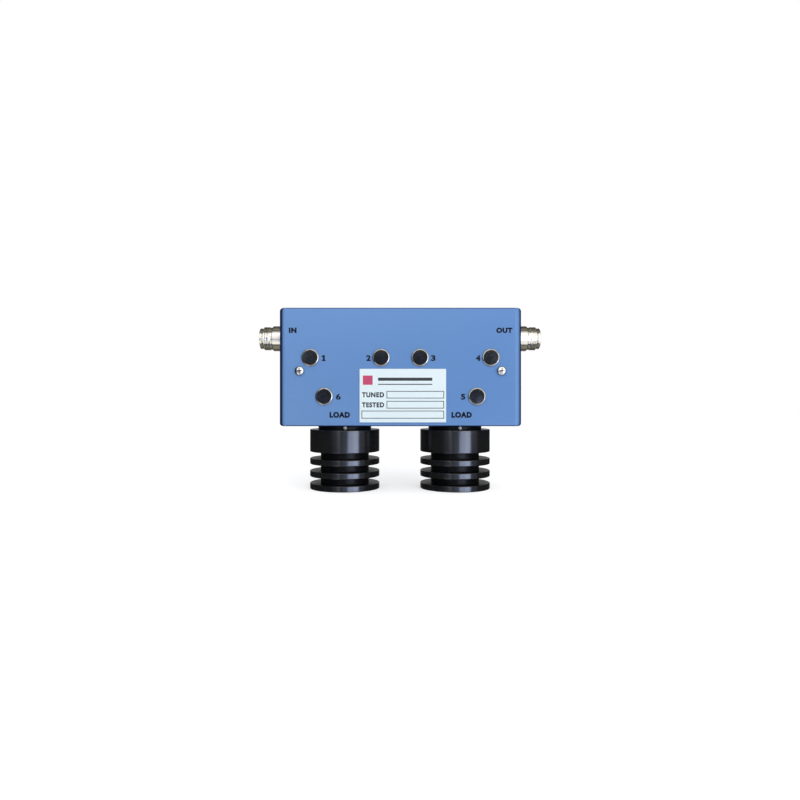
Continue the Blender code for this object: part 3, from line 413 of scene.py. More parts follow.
def groove(radius, depth, turns):
    """The radius of a threaded ring as a function of the angle."""
    def at(angle):
        from_middle = abs((turns - angle / math.tau) % 1 - 0.5) * 2
        down_flank = (THREAD_FLANK_START - from_middle) / THREAD_FLANK_WIDTH
        return radius - depth * min(1, max(0, down_flank))
    return at


def edge_inset(radius, depth):
    """How far a rounded edge is set back from the side at this depth under the face."""
    if depth >= radius:
        return 0.0
    return radius - math.sqrt(radius**2 - (radius - depth) ** 2)


def edge_depths(radius):
    """Depths that follow a rounded edge in even steps of angle."""
    return [radius * (1 - math.cos(math.radians(90) * i / EDGE_STEPS)) for i in range(EDGE_STEPS + 1)]


# Materials


def fill(node, **values):
    """Sets the sockets of a node, named with underscores for their spaces."""
    for socket, value in values.items():
        node.inputs[socket.replace("_", " ")].default_value = value
    return node


class Finish:
    """A Principled material, with its detail added to its sockets one by one."""

    def __init__(self, name, colour, roughness, metallic=0.0, **sockets):
        self.material = bpy.data.materials.new(name)
        self.material.use_nodes = True
        self.nodes = self.material.node_tree.nodes
        self.links = self.material.node_tree.links
        self.shader = self.nodes["Principled BSDF"]
        fill(self.shader, Base_Color=(*colour, 1), Roughness=roughness, Metallic=metallic, **sockets)
        self.colour = colour

    def axes(self):
        """The object coordinates, one socket for each axis."""
        apart = self.nodes.new("ShaderNodeSeparateXYZ")
        self.links.new(self.nodes.new("ShaderNodeTexCoord").outputs["Object"], apart.inputs[0])
        return [apart.outputs[axis] for axis in "XYZ"]

    def joined(self, **axes):
        """A vector with some of its axes from sockets."""
        node = self.nodes.new("ShaderNodeCombineXYZ")
        for axis, socket in axes.items():
            self.links.new(socket, node.inputs[axis])
        return node.outputs[0]

    def place(self, scale, lathe):
        """Object coordinates times a scale in lines per metre along each axis.

        On a lathe-turned piece the first is across the radius and the last along the axis.
        """
        if lathe:
            x, y, z = self.axes()
            length = self.nodes.new("ShaderNodeVectorMath")
            length.operation = "LENGTH"
            self.links.new(self.joined(X=x, Y=y), length.inputs[0])
            spot = self.joined(X=length.outputs["Value"], Z=z)
        else:
            spot = self.nodes.new("ShaderNodeTexCoord").outputs["Object"]
        times = self.nodes.new("ShaderNodeVectorMath")
        times.operation = "MULTIPLY"
        times.inputs[1].default_value = scale
        self.links.new(spot, times.inputs[0])
        return times.outputs["Vector"]

    def noise(self, scale, detail, lathe=False):
        """Noise with one scale, or with a scale for each axis."""
        texture = fill(self.nodes.new("ShaderNodeTexNoise"), Scale=1.0, Detail=detail)
        scales = scale if isinstance(scale, tuple) else (scale, scale, scale)
        self.links.new(self.place(scales, lathe), texture.inputs["Vector"])
        return texture.outputs["Fac"]

    def remap(self, value, start, end, low, high):
        """A value from start to end as a number from low to high."""
        node = self.nodes.new("ShaderNodeMapRange")
        fill(node, From_Min=start, From_Max=end, To_Min=low, To_Max=high)
        self.links.new(value, node.inputs["Value"])
        return node.outputs["Result"]

    def read(self, value):
        """The socket itself, or new noise from its scale and detail."""
        return value if isinstance(value, bpy.types.NodeSocket) else self.noise(*value)

    def spread(self, value, low, high):
        """Noise, most of which lies from 0.25 to 0.75, as a number from low to high."""
        return self.remap(self.read(value), 0.25, 0.75, low, high)

    def mix(self, factor, other):
        """Mixes the base colour with another."""
        node = self.nodes.new("ShaderNodeMix")
        node.data_type = "RGBA"
        self.links.new(factor, node.inputs["Factor"])
        base = self.shader.inputs["Base Color"]
        if base.is_linked:
            self.links.new(base.links[0].from_socket, node.inputs["A"])
        else:
            node.inputs["A"].default_value = (*self.colour, 1)
        node.inputs["B"].default_value = (*other, 1)
        self.links.new(node.outputs["Result"], base)

    def tint(self, value, other, amount):
        """Mixes the base colour with another where the value is high."""
        self.mix(self.spread(value, 0, amount), other)

    def along_box(self):
        """0.25 at the input end of the box and 0.75 at the output end."""
        return self.maths("ADD", self.maths("DIVIDE", self.axes()[0], 2 * BOX_WIDTH), 0.5)

    def painted_edge_shade(self, other, side_start, start, end):
        """Paints shade on the rounded front edges of the box, and nowhere else outside, by mixing in
        another colour.

        A point there lies behind the front plane and inside the side, top or bottom plane. On the side
        edges the painted shade starts deeper, and more so at the output end. On the top and bottom
        edges it is full sooner, because they are narrower.
        """
        from_planes, from_level = 10, 5
        x, y, z = self.axes()
        aside = self.maths("SUBTRACT", BOX_HIGH.x, self.maths("ABSOLUTE", x))
        upwards = self.maths("ABSOLUTE", self.maths("SUBTRACT", z, BOX_CENTRE))
        above = self.maths("SUBTRACT", BOX_HEIGHT / 2, upwards)
        behind = self.maths("SUBTRACT", y, FRONT_FACE)
        off_planes = self.maths("MULTIPLY", self.maths("MINIMUM", aside, above), from_planes)
        at_input, at_output = side_start
        starts = self.maths("MULTIPLY", self.maths("SIGN", x), (at_output - at_input) / 2)
        starts = self.maths("ADD", starts, (at_input + at_output) / 2)
        side = self.maths("MINIMUM", off_planes, self.maths("SUBTRACT", behind, starts))
        inward = self.maths("SUBTRACT", aside, SIDE_EDGE_WIDTH)
        level = self.maths("MULTIPLY", self.maths("MINIMUM", above, behind), from_level)
        level = self.maths("MINIMUM", level, inward)
        past = self.maths("SUBTRACT", SIDE_EDGE_RADIUS + PAINTED_EDGE_SHADE_REACH, behind)
        nearest = self.maths("MINIMUM", self.maths("MAXIMUM", side, level), past)
        self.mix(self.remap(nearest, start, end, 0, 1), other)

    def maths(self, operation, first, second=None):
        """A math node of one or two values, each a number or a socket."""
        node = self.nodes.new("ShaderNodeMath")
        node.operation = operation
        for socket, value in zip(node.inputs, (first, second)):
            if isinstance(value, bpy.types.NodeSocket):
                self.links.new(value, socket)
            elif value is not None:
                socket.default_value = value
        return node.outputs[0]

    def rough(self, value, low, high):
        self.links.new(self.spread(value, low, high), self.shader.inputs["Roughness"])

    def bump(self, value, height, strength):
        """Adds relief of this height in metres."""
        relief = fill(self.nodes.new("ShaderNodeBump"), Distance=height, Strength=strength)
        self.links.new(self.read(value), relief.inputs["Height"])
        self.links.new(relief.outputs["Normal"], self.shader.inputs["Normal"])


def finishes():
    """The materials of the record's slots, and those that only the looks use."""
    made = {}

    def start(slot, *values, **sockets):
        made[slot] = Finish(*values, **sockets)
        return made[slot]

    blue = start("blue_anodised", "blue anodised", (0.150, 0.302, 0.600), 0.50, 0.30,
                 Coat_Weight=0.25, Coat_Roughness=0.16, Specular_IOR_Level=0.2)
    streaks = blue.noise((40, 2500, 2500), 4)
    blue.tint(streaks, (0.170, 0.324, 0.630), 0.8)
    blue.tint(((6, 25, 25), 2), (0.134, 0.276, 0.580), 0.6)
    # Painted shade: the blue darkens from the input end towards the output end of the box
    blue.tint(blue.along_box(), (0.078, 0.188, 0.430), 0.55)
    # Painted shade: dark navy on the rounded front edges of the box
    blue.painted_edge_shade((0.014, 0.030, 0.125), (0.22 * MM, 0.6 * MM), 0.06 * MM, 0.40 * MM)
    blue.rough(streaks, 0.45, 0.56)
    blue.bump(streaks, 0.012 * MM, 0.5)

    black = start("black_anodised", "black anodised", (0.0085, 0.009, 0.0105), 0.14, IOR=1.62)
    turning = black.noise((2600, 0, 2600), 3, lathe=True)
    black.tint((120, 2), (0.011, 0.011, 0.0115), 1.0)
    black.rough(turning, 0.14, 0.22)
    black.bump(turning, 0.002 * MM, 0.35)

    # Painted shade for the loads' grooves and necks: a darker black with a weaker reflection
    shaded_black = start("painted_shade_black", "black with painted shade", (0.005, 0.0055, 0.007), 0.32, Specular_IOR_Level=0.12)
    shaded_black.tint((700, 3), (0.010, 0.0105, 0.012), 0.8)
    shaded_black.bump((1500, 2), 0.006 * MM, 0.5)

    nickel = start("nickel_plate", "nickel plate", (0.74, 0.72, 0.66), 0.17, 1.0)
    marks = nickel.noise((1800, 0, 1800), 3, lathe=True)
    nickel.tint((220, 2), (0.78, 0.71, 0.60), 0.7)
    nickel.tint((90, 1), (0.66, 0.66, 0.66), 0.5)
    nickel.rough(marks, 0.15, 0.25)
    nickel.bump(marks, 0.003 * MM, 0.3)

    screw = start("nickel_screw", "nickel screw", (0.70, 0.70, 0.68), 0.22, 1.0)
    screw.tint((500, 2), (0.60, 0.60, 0.58), 0.6)
    screw.rough((1400, 2), 0.17, 0.30)

    # The lock screws' plating, partly painted highlight: a pale colour so that the screw shows as a bright
    # spot in the shade under the box
    zinc = start("zinc_painted_bright", "zinc painted bright", (0.95, 0.97, 0.94), 0.42, 0.2)
    zinc.tint((900, 2), (0.86, 0.88, 0.85), 0.6)
    zinc.rough((1500, 2), 0.36, 0.5)

    plated = start("dark_nickel", "dark nickel plate", (0.130, 0.135, 0.155), 0.20, 1.0)
    wipes = plated.noise(700, 3)
    plated.tint(wipes, (0.160, 0.158, 0.160), 0.8)
    plated.rough(wipes, 0.09, 0.15)
    plated.bump((350, 2), 0.004 * MM, 0.3)

    # Painted highlight: the plug's metal made brighter on its rim, so that the rim shines more than the
    # face
    highlit_rim = start("rim_highlight", "nickel rim with painted highlight", (0.42, 0.40, 0.345), 0.2, 1.0)
    highlit_rim.tint((900, 3), (0.27, 0.26, 0.23), 0.7)
    highlit_rim.rough((1500, 2), 0.16, 0.28)

    # Painted shade in the screws' cross recesses: dark brown with lighter specks
    recess_shade = start("recess_shade", "recess_shade", (0.045, 0.040, 0.026), 0.5, 0.3, Specular_IOR_Level=0.3)
    recess_shade.tint((1600, 3), (0.16, 0.14, 0.10), 0.6)

    label = start("label_white", "white label", (0.745, 0.865, 0.925), 0.42)
    label.tint((60, 2), (0.765, 0.88, 0.93), 0.8)
    label.bump((1500, 2), 0.004 * MM, 0.3)

    ptfe = start("white_insulator", "white insulator", (0.82, 0.82, 0.79), 0.45,
                 Subsurface_Weight=0.15, Subsurface_Radius=(1.0 * MM, 1.0 * MM, 0.9 * MM))
    ptfe.bump(((1500, 0, 1500), 2, True), 0.004 * MM, 0.3)

    gold = start("gold_plate", "gold plate", (0.83, 0.58, 0.22), 0.2, 1.0)
    gold.tint((400, 2), (0.74, 0.50, 0.19), 0.5)
    gold.rough(((2500, 0, 2500), 2, True), 0.15, 0.28)

    brass = start("brass", "brass", (0.70, 0.50, 0.22), 0.3, 1.0)
    brass.tint((300, 3), (0.56, 0.40, 0.19), 0.6)
    brass.rough((1500, 2), 0.24, 0.38)

    silver = start("silver_plate", "silver plate", (0.80, 0.77, 0.72), 0.28, 1.0)
    silver.tint((160, 3), (0.66, 0.60, 0.50), 0.5)
    silver.rough((1200, 2), 0.22, 0.36)

    ceramic = start("ceramic", "ceramic", (0.74, 0.71, 0.64), 0.5)
    ceramic.tint((500, 3), (0.66, 0.63, 0.56), 0.7)
    ceramic.bump((2500, 2), 0.006 * MM, 0.4)

    ferrite = start("ferrite", "ferrite", (0.030, 0.030, 0.033), 0.45)
    ferrite.tint((900, 3), (0.055, 0.052, 0.050), 0.7)
    ferrite.bump((3000, 2), 0.006 * MM, 0.5)

    magnet = start("magnet", "magnet", (0.085, 0.085, 0.087), 0.5, 0.3)
    magnet.tint((800, 3), (0.12, 0.115, 0.11), 0.7)
    magnet.bump((2000, 3), 0.01 * MM, 0.5)

    steel = start("plated_steel", "plated steel", (0.55, 0.54, 0.50), 0.33, 1.0)
    steel.tint((70, 3), (0.58, 0.52, 0.38), 0.6)
    steel.rough((900, 3), 0.26, 0.42)

    bare = start("bare_aluminium", "bare aluminium", (0.76, 0.76, 0.77), 0.38, 1.0)
    milled = bare.noise((2200, 2200, 60), 3)
    bare.tint(milled, (0.66, 0.66, 0.67), 0.6)
    bare.rough(milled, 0.32, 0.46)
    bare.bump(milled, 0.004 * MM, 0.4)

    ink = start("ink", "black ink", (0.004, 0.005, 0.012), 0.6, Specular_IOR_Level=0.15)
    ink.tint((1200, 2), (0.008, 0.009, 0.018), 0.8)

    grey_ink = start("grey_ink", "grey ink", (0.035, 0.042, 0.048), 0.6, Specular_IOR_Level=0.2)
    grey_ink.tint((1200, 2), (0.06, 0.066, 0.07), 0.8)

    red_ink = start("red_ink", "red ink", (0.52, 0.035, 0.13), 0.5)
    red_ink.tint((1200, 2), (0.60, 0.07, 0.17), 0.8)

    return {slot: finish.material for slot, finish in made.items()}


# The box


def box_sections():
    """Outlines of the tray from the front face back. Its side edges are wider than they are deep."""
    depths = edge_depths(SIDE_EDGE_RADIUS) + edge_depths(TOP_EDGE_RADIUS)
    sections = []
    for depth in sorted(set(depths)) + [BACK_RIM - FRONT_FACE]:
        side = edge_inset(SIDE_EDGE_RADIUS, depth) * SIDE_EDGE_WIDTH / SIDE_EDGE_RADIUS
        width = BOX_WIDTH - 2 * side
        height = BOX_HEIGHT - 2 * edge_inset(TOP_EDGE_RADIUS, depth)
        outline = rounded_rectangle(width, height, CORNER_RADIUS, (0, BOX_CENTRE))
        sections.append([(x, FRONT_FACE + depth, z) for x, z in outline])
    return sections


def box_shell(material):
    """The tray, with its pocket, screw posts, load bosses and holes."""
    tray = add("box_shell", loft(box_sections()))
    pocket = rounded_rectangle(
        BOX_WIDTH - 2 * WALL, BOX_HEIGHT - 2 * WALL, POCKET_CORNER_RADIUS, (0, BOX_CENTRE)
    )
    carve(tray, add("pocket", slab(pocket, FRONT_INSIDE, BACK_FACE)))
    foot = BACK_RIM - SCREW_POST_LENGTH
    posts = [(SCREW_POST_RADIUS, (x, foot, z), (x, BACK_RIM, z)) for _, x, z in BACK_SCREWS]
    low, high = FLOOR_INSIDE - SCREW_POST_SINK, FLOOR_INSIDE + LOAD_BOSS_HEIGHT
    bosses = [(LOAD_BOSS_RADIUS, (s * LOAD_X, 0, low), (s * LOAD_X, 0, high)) for _, s in ENDS]
    added = add("posts", rods(posts, SMALL_SIDES)), add("bosses", rods(bosses, ROUND_SIDES))
    carve(tray, *added, operation="UNION")
    wide, narrow = [], []
    for _, x, z in PLUGS:
        wide.append((PLUG_HOLE_RADIUS, (x, FRONT_FACE - WALL, z), (x, FRONT_INSIDE + WALL, z)))
    for _, side in ENDS:
        inside, outside = side * (END_INSIDE - WALL), side * (END_FACE + WALL)
        wide.append((JACK_SHANK_RADIUS + SEAT_GAP, (inside, 0, JACK_Z), (outside, 0, JACK_Z)))
        x = side * LOAD_X
        wide.append((SPIGOT_RADIUS + SEAT_GAP, (x, 0, BOX_LOW.z - WALL), (x, 0, high + WALL)))
    for _, x, z in FRONT_SCREWS:
        narrow.append((SCREW_HOLE_RADIUS, (x, FRONT_FACE - WALL, z), (x, FRONT_INSIDE + WALL, z)))
    for _, x, z in BACK_SCREWS:
        narrow.append((SCREW_HOLE_RADIUS, (x, BACK_FACE - SCREW_LENGTH - WALL, z), (x, BACK_FACE, z)))
    carve(tray, add("wide_holes", rods(wide, ROUND_SIDES)), add("narrow_holes", rods(narrow, SMALL_SIDES)))
    dress(keep_flats(tray), material, "blue_anodised", "housing")


def box_back(material):
    """The back plate, with rounded rear edges."""
    sections = []
    thickness = BACK_PLATE_THICKNESS
    for depth in edge_depths(PLATE_EDGE_RADIUS) + [thickness]:
        inset = 2 * edge_inset(PLATE_EDGE_RADIUS, depth)
        outline = rounded_rectangle(BOX_WIDTH - inset, BOX_HEIGHT - inset, CORNER_RADIUS, (0, BOX_CENTRE))
        sections.append([(x, BACK_FACE - depth, z) for x, z in outline])
    plate = add("box_back", loft(sections))
    low, high = BACK_FACE - 2 * thickness, BACK_FACE + thickness
    holes = [(SCREW_HOLE_RADIUS, (x, low, z), (x, high, z)) for _, x, z in BACK_SCREWS]
    carve(plate, add("back_holes", rods(holes, SMALL_SIDES)))
    dress(keep_flats(plate), material, "blue_anodised", "back_plate")


# Screws and plugs


def cross_outline(reach, width):
    """A cross round the origin, of this reach and width of its arms."""
    half = width / 2
    quarter = [(reach, -half), (reach, half), (half, half)]
    points = []
    for turn in range(4):
        c, s = math.cos(turn * math.tau / 4), math.sin(turn * math.tau / 4)
        points += [(c * x - s * y, s * x + c * y) for x, y in quarter]
    return points


def in_recess(at, _):
    """Whether a screw's face lies clearly under the dome of its head, inside the recess."""
    most_out, below_dome, deepest = 0.75, 0.08 * MM, 1.1 * RECESS_DEPTH
    out = min(1, at.to_2d().length / SCREW_HEAD_RADIUS)
    dome = SCREW_HEAD_EDGE + (SCREW_HEAD_HEIGHT - SCREW_HEAD_EDGE) * math.sqrt(1 - out**2)
    return out < most_out and SCREW_HEAD_HEIGHT - deepest < at.z < dome - below_dome


def pan_screw(material, recess_material):
    """A pan-head screw with a cross recess and a thread. Its head sits on local Z = 0."""
    crown = SCREW_HEAD_HEIGHT - SCREW_HEAD_EDGE
    dome = [
        (SCREW_HEAD_RADIUS * across, SCREW_HEAD_EDGE + crown * up)
        for across, up in arc(0, 0, 1, 0, 85, 12)
    ]
    under = SCREW_UNDERSIDE_EDGE
    profile = [(0, -SCREW_LENGTH), (SCREW_POINT_RADIUS - SCREW_THREAD_DEPTH / 2, -SCREW_LENGTH)]
    point = SCREW_POINT_LENGTH - SCREW_LENGTH
    profile += thread(SCREW_RADIUS, SCREW_THREAD_DEPTH, SCREW_PITCH, point, -SCREW_PITCH)
    profile += [(SCREW_RADIUS, 0), (SCREW_HEAD_RADIUS - under, 0), (SCREW_HEAD_RADIUS, under)]
    profile += dome + [(0, SCREW_HEAD_HEIGHT)]
    screw = add("pan_screw", turned(profile, ROUND_SIDES))
    above = SCREW_HEAD_HEIGHT + RECESS_DEPTH
    below = SCREW_HEAD_HEIGHT - RECESS_DEPTH
    top = [(x, y, above) for x, y in cross_outline(2 * RECESS_REACH, RECESS_WIDTH)]
    bottom = [(x, y, below) for x, y in cross_outline(RECESS_FLOOR_REACH, RECESS_FLOOR_WIDTH)]
    carve(screw, add("recess", loft([bottom, top])))
    mesh = mesh_of(screw)
    # The faces inside the recess take the painted recess shade
    second_finish(mesh, material, recess_material, in_recess)
    for name, x, z in FRONT_SCREWS:
        head = add(f"front_pan_screw_{name}", mesh, (x, FRONT_FACE - SEAT_GAP, z), TO_FRONT)
        dress(keep_flats(head), material, "nickel_screw", f"front_screw_{name}")
    for number, x, z in BACK_SCREWS:
        head = add(f"back_pan_screw_{number}", mesh, (x, BACK_FACE + SEAT_GAP, z), TO_BACK)
        dress(keep_flats(head), material, "nickel_screw", f"back_screw_{number}")


def second_finish(mesh, first, second, chosen):
    """Gives the chosen faces of a mesh a second finish."""
    for finish in (first, second):
        mesh.materials.append(finish)
    for face in mesh.polygons:
        if chosen(face.center, face.normal):
            face.material_index = 1


def snap_plugs(material, rim_material):
    """Stamped plugs with a sloping rim, a slightly crowned face and sprung legs."""
    face = PLUG_RADIUS - PLUG_RIM_WIDTH
    crest = face + PLUG_CREST_WIDTH
    turn_in, edge, fold = PLUG_TURN_IN, PLUG_CREST_EDGE, PLUG_FOLD
    rim = [(PLUG_RADIUS, 0)] + arc(PLUG_RADIUS - turn_in, PLUG_EDGE_HEIGHT - turn_in, turn_in, 0, 72, 6)
    rim += [(crest, PLUG_RIM_HEIGHT), (face + edge, PLUG_RIM_HEIGHT), (face, PLUG_RIM_HEIGHT - edge)]
    leg = PLUG_HOLE_RADIUS - SEAT_GAP
    inside = leg - PLUG_METAL
    behind_wall = WALL + 2 * SEAT_GAP
    profile = [(0, 0), (inside, 0), (inside, -PLUG_LEG_LENGTH), (leg, -PLUG_LEG_LENGTH)]
    profile += [(leg + PLUG_BARB, -behind_wall - PLUG_BARB), (leg, -behind_wall), (leg, 0)]
    profile += rim + [(face, PLUG_METAL + fold), (face - fold, PLUG_METAL)]
    profile += [(face * 0.5, PLUG_METAL + PLUG_CROWN_HALFWAY), (0, PLUG_METAL + PLUG_CROWN)]
    plug = add("plug", turned(profile, ROUND_SIDES))
    bm = bmesh.new()
    for i in range(PLUG_LEG_COUNT // 2):
        turn = Matrix.Rotation(math.tau / PLUG_LEG_COUNT * i, 4, "Z")
        drop = Matrix.Translation((0, 0, -PLUG_LEG_LENGTH / 2 - PLUG_METAL))
        size = Matrix.Diagonal((2 * PLUG_RADIUS, PLUG_SLOT_WIDTH, PLUG_LEG_LENGTH, 1))
        bmesh.ops.create_cube(bm, size=1, matrix=turn @ drop @ size)
    carve(plug, add("plug_slots", bm), use_self=True)
    mesh = mesh_of(plug)
    # The outer slope of the rim takes the brighter metal of the painted highlight
    highlit_rim = crest + PLUG_HIGHLIGHT_START
    second_finish(mesh, material, rim_material, lambda at, _: at.z > 0 and at.to_2d().length > highlit_rim)
    for number, x, z in PLUGS:
        piece = add(f"snap_plug_{number}", mesh, (x, FRONT_FACE - SEAT_GAP, z), TO_FRONT)
        dress(keep_flats(piece), material, "dark_nickel", f"hole_plug_{number}")


# Jacks


def on_end(name, side, mesh):
    """A jack's piece on one end of the box."""
    turn = (0, side * math.radians(90), 0)
    return add(name, mesh, (side * (END_FACE + SEAT_GAP), 0, JACK_Z), turn)


def jack_shell(material):
    """The shell of a jack, with a cut thread. Local Z = 0 is the seat of its collar."""
    c = JACK_CHAMFER
    undercut = COLLAR_LENGTH + UNDERCUT_LENGTH
    thread_end = undercut + THREAD_LENGTH
    tip = thread_end + NOSE_LENGTH
    shank = -(WALL + 2 * SEAT_GAP + NUT_THICKNESS + JACK_SHANK_PAST_NUT)
    floor = tip - SOCKET_DEPTH
    behind = [
        (SOCKET_RADIUS, floor),
        (INSULATOR_BORE_RADIUS, floor),
        (INSULATOR_BORE_RADIUS, shank),
        (JACK_SHANK_RADIUS, shank),
        (JACK_SHANK_RADIUS, 0),
        (COLLAR_RADIUS, 0),
        (COLLAR_RADIUS, COLLAR_LENGTH - c),
        (COLLAR_RADIUS - c, COLLAR_LENGTH),
        (UNDERCUT_RADIUS, COLLAR_LENGTH),
        (UNDERCUT_RADIUS, undercut),
        (THREAD_RADIUS, undercut + 2 * c),
    ]
    ahead = [
        (THREAD_RADIUS, thread_end - c),
        (NOSE_RADIUS, thread_end),
        (NOSE_RADIUS - NOSE_GROOVE, thread_end + NOSE_GROOVE),
        (NOSE_RADIUS, thread_end + 2 * NOSE_GROOVE),
        (NOSE_RADIUS, tip - NOSE_EDGE),
        (NOSE_RADIUS - NOSE_EDGE, tip),
        (SOCKET_RADIUS + c, tip),
        (SOCKET_RADIUS, tip - c),
    ]
    rounded = eased(behind + ahead, JACK_EDGE)
    middle = undercut + THREAD_LENGTH / 2
    before = [i for i, (r, height) in enumerate(rounded) if height < middle and r > JACK_SHANK_RADIUS]
    split = before[-1] + 1
    start, end = undercut + c * THREAD_CUT_START, thread_end - c * THREAD_CUT_END
    cut = thread(THREAD_RADIUS, THREAD_DEPTH, THREAD_PITCH, start, end)
    rings = rounded[:split] + cut + rounded[split:]
    mesh = mesh_of(add("jack_shell", turned(rings, JACK_SIDES)))
    for name, side in ENDS:
        piece = on_end(f"{name}_jack_shell", side, mesh)
        dress(keep_flats(piece), material, "nickel_plate", f"{name}_jack_body")
    return shank, floor, tip


def jack_insides(white, gold, shank, floor, tip):
    """The insulator and the slotted centre contact of each jack."""
    bore = CONTACT_STEM_RADIUS + SEAT_GAP
    radius = INSULATOR_BORE_RADIUS - SEAT_GAP
    front = floor - SEAT_GAP
    ring = eased([(bore, shank), (radius, shank), (radius, front), (bore, front)], INSULATOR_EDGE)
    insulator = mesh_of(add("insulator", turned(ring, ROUND_SIDES)))
    mouth = tip - CONTACT_RECESS
    c = CONTACT_CHAMFER
    pin = [
        (0, shank - SOLDER_PIN_LENGTH),
        (SOLDER_PIN_RADIUS - c, shank - SOLDER_PIN_LENGTH),
        (SOLDER_PIN_RADIUS, shank - SOLDER_PIN_LENGTH + c),
        (SOLDER_PIN_RADIUS, shank),
        (CONTACT_STEM_RADIUS, shank),
        (CONTACT_STEM_RADIUS, floor),
        (CONTACT_RADIUS, floor),
        (CONTACT_RADIUS, mouth - c),
        (CONTACT_RADIUS - c, mouth),
        (CONTACT_BORE_RADIUS, mouth),
        (CONTACT_BORE_RADIUS, mouth - CONTACT_BORE_DEPTH),
        (0, mouth - CONTACT_BORE_DEPTH - CONTACT_BORE_RADIUS),
    ]
    contact = add("contact", turned(eased(pin, CONTACT_EDGE), ROUND_SIDES))
    outline = cross_outline(2 * CONTACT_RADIUS, CONTACT_SLIT_WIDTH)
    heights = (mouth - CONTACT_SLIT_DEPTH, mouth + CONTACT_SLIT_DEPTH)
    carve(contact, add("slits", loft([[(x, y, z) for x, y in outline] for z in heights])))
    socket = mesh_of(contact)
    for name, side in ENDS:
        piece = on_end(f"{name}_jack_dielectric", side, insulator)
        dress(piece, white, "white_insulator", f"{name}_jack_insulator")
        piece = on_end(f"{name}_jack_socket", side, socket)
        dress(piece, gold, "gold_plate", f"{name}_jack_contact")


# Loads


def load_profile():
    """The turned outline of a load, from the floor of its bore round to the mouth."""
    profile = [(0, 0), (LOAD_RADIUS, 0)]
    for i in range(FIN_COUNT):
        low = i * (FIN_THICKNESS + FIN_GAP)
        if i:
            profile += [(CORE_RADIUS, low), (LOAD_RADIUS, low)]
        profile += [(LOAD_RADIUS, low + FIN_THICKNESS), (CORE_RADIUS, low + FIN_THICKNESS)]
    body = LOAD_HEIGHT - LOAD_BODY_LENGTH
    profile += [(CORE_RADIUS, body), (LOAD_RADIUS, body)]
    neck = LOAD_HEIGHT + NECK_HEIGHT
    spigot = FLOOR_INSIDE + LOAD_BOSS_HEIGHT + SPIGOT_PAST_BOSS
    profile += [(LOAD_RADIUS, LOAD_HEIGHT), (NECK_RADIUS, LOAD_HEIGHT)]
    profile += [(NECK_RADIUS, neck), (SPIGOT_RADIUS, neck)]
    profile += [(SPIGOT_RADIUS, spigot), (LOAD_BORE_RADIUS, spigot)]
    profile += [(LOAD_BORE_RADIUS, LOAD_BORE_FLOOR), (0, LOAD_BORE_FLOOR)]
    return eased(profile, FIN_EDGE_RADIUS, FIN_EDGE_STEPS)


def on_neck_or_in_groove(at, normal):
    """Whether a load's face is on its neck, between the body and the box, or in a groove."""
    on_neck = abs(normal.z) < 0.5 and LOAD_HEIGHT < at.z < LOAD_HEIGHT + NECK_HEIGHT
    out = at.to_2d().length
    past_core = CORE_RADIUS - FIN_EDGE_RADIUS < out
    in_groove = past_core and out < LOAD_RADIUS - FIN_EDGE_RADIUS and FIN_THICKNESS / 2 < at.z
    return on_neck or in_groove and at.z < LOAD_HEIGHT - LOAD_BODY_LENGTH / 2


def finned_loads(black, shaded_black, nickel):
    """The finned heat sinks and the lock screws in their necks."""
    dome = arc(0, 0, 1, 0, 80, 8)
    profile = [(0, -LOCK_SHANK_LENGTH), (LOCK_SHANK_RADIUS, -LOCK_SHANK_LENGTH), (LOCK_SHANK_RADIUS, 0)]
    profile += [(LOCK_HEAD_RADIUS * x, LOCK_HEAD_HEIGHT * z) for x, z in dome]
    profile += [(0, LOCK_HEAD_HEIGHT)]
    lock = mesh_of(add("lock", turned(profile, SMALL_SIDES)))
    outwards = Vector((math.sin(LOCK_SCREW_ANGLE), -math.cos(LOCK_SCREW_ANGLE), 0))
    up = Vector((0, 0, LOAD_HEIGHT + (NECK_HEIGHT + SEAT_GAP) / 2))
    turn = outwards.to_track_quat("Z", "Y").to_euler()
    for name, side in ENDS:
        axis = Vector((side * LOAD_X, 0, 0))
        sink = add(f"{name}_finned_load", turned(load_profile(), LOAD_SIDES))
        start = up + outwards * (NECK_RADIUS - LOCK_SHANK_LENGTH)
        end = up + outwards * (NECK_RADIUS + LOCK_HEAD_HEIGHT)
        carve(sink, add("lock_hole", rods([(LOCK_SHANK_RADIUS + SEAT_GAP, start, end)], SMALL_SIDES)))
        sink.location = axis
        # The neck and the grooves take the painted shade
        second_finish(sink.data, black, shaded_black, on_neck_or_in_groove)
        dress(keep_flats(sink), black, "black_anodised", f"{name}_load_heat_sink")
        head = add(f"{name}_lock_screw", lock, axis + up + outwards * (NECK_RADIUS + SEAT_GAP), turn)
        dress(head, nickel, "nickel_screw", f"{name}_load_lock_screw")


# Label and marks

# The record has no slot for print, so print goes with the black parts
PRINT_SLOT = "black_anodised"
# Half the thickness of the print, the space between letters, and how close points are welded
INK = 0.02 * MM
LETTER_SPACING = 1.15
LETTER_STEPS = 6
WELD = 1e-5


def bar(bm, left, right, low, high, front):
    """A thin printed bar in front view."""
    size = Matrix.Diagonal((right - left, 2 * INK, high - low, 1))
    middle = Matrix.Translation(((left + right) / 2, front, (low + high) / 2))
    bmesh.ops.create_cube(bm, size=1, matrix=middle @ size)


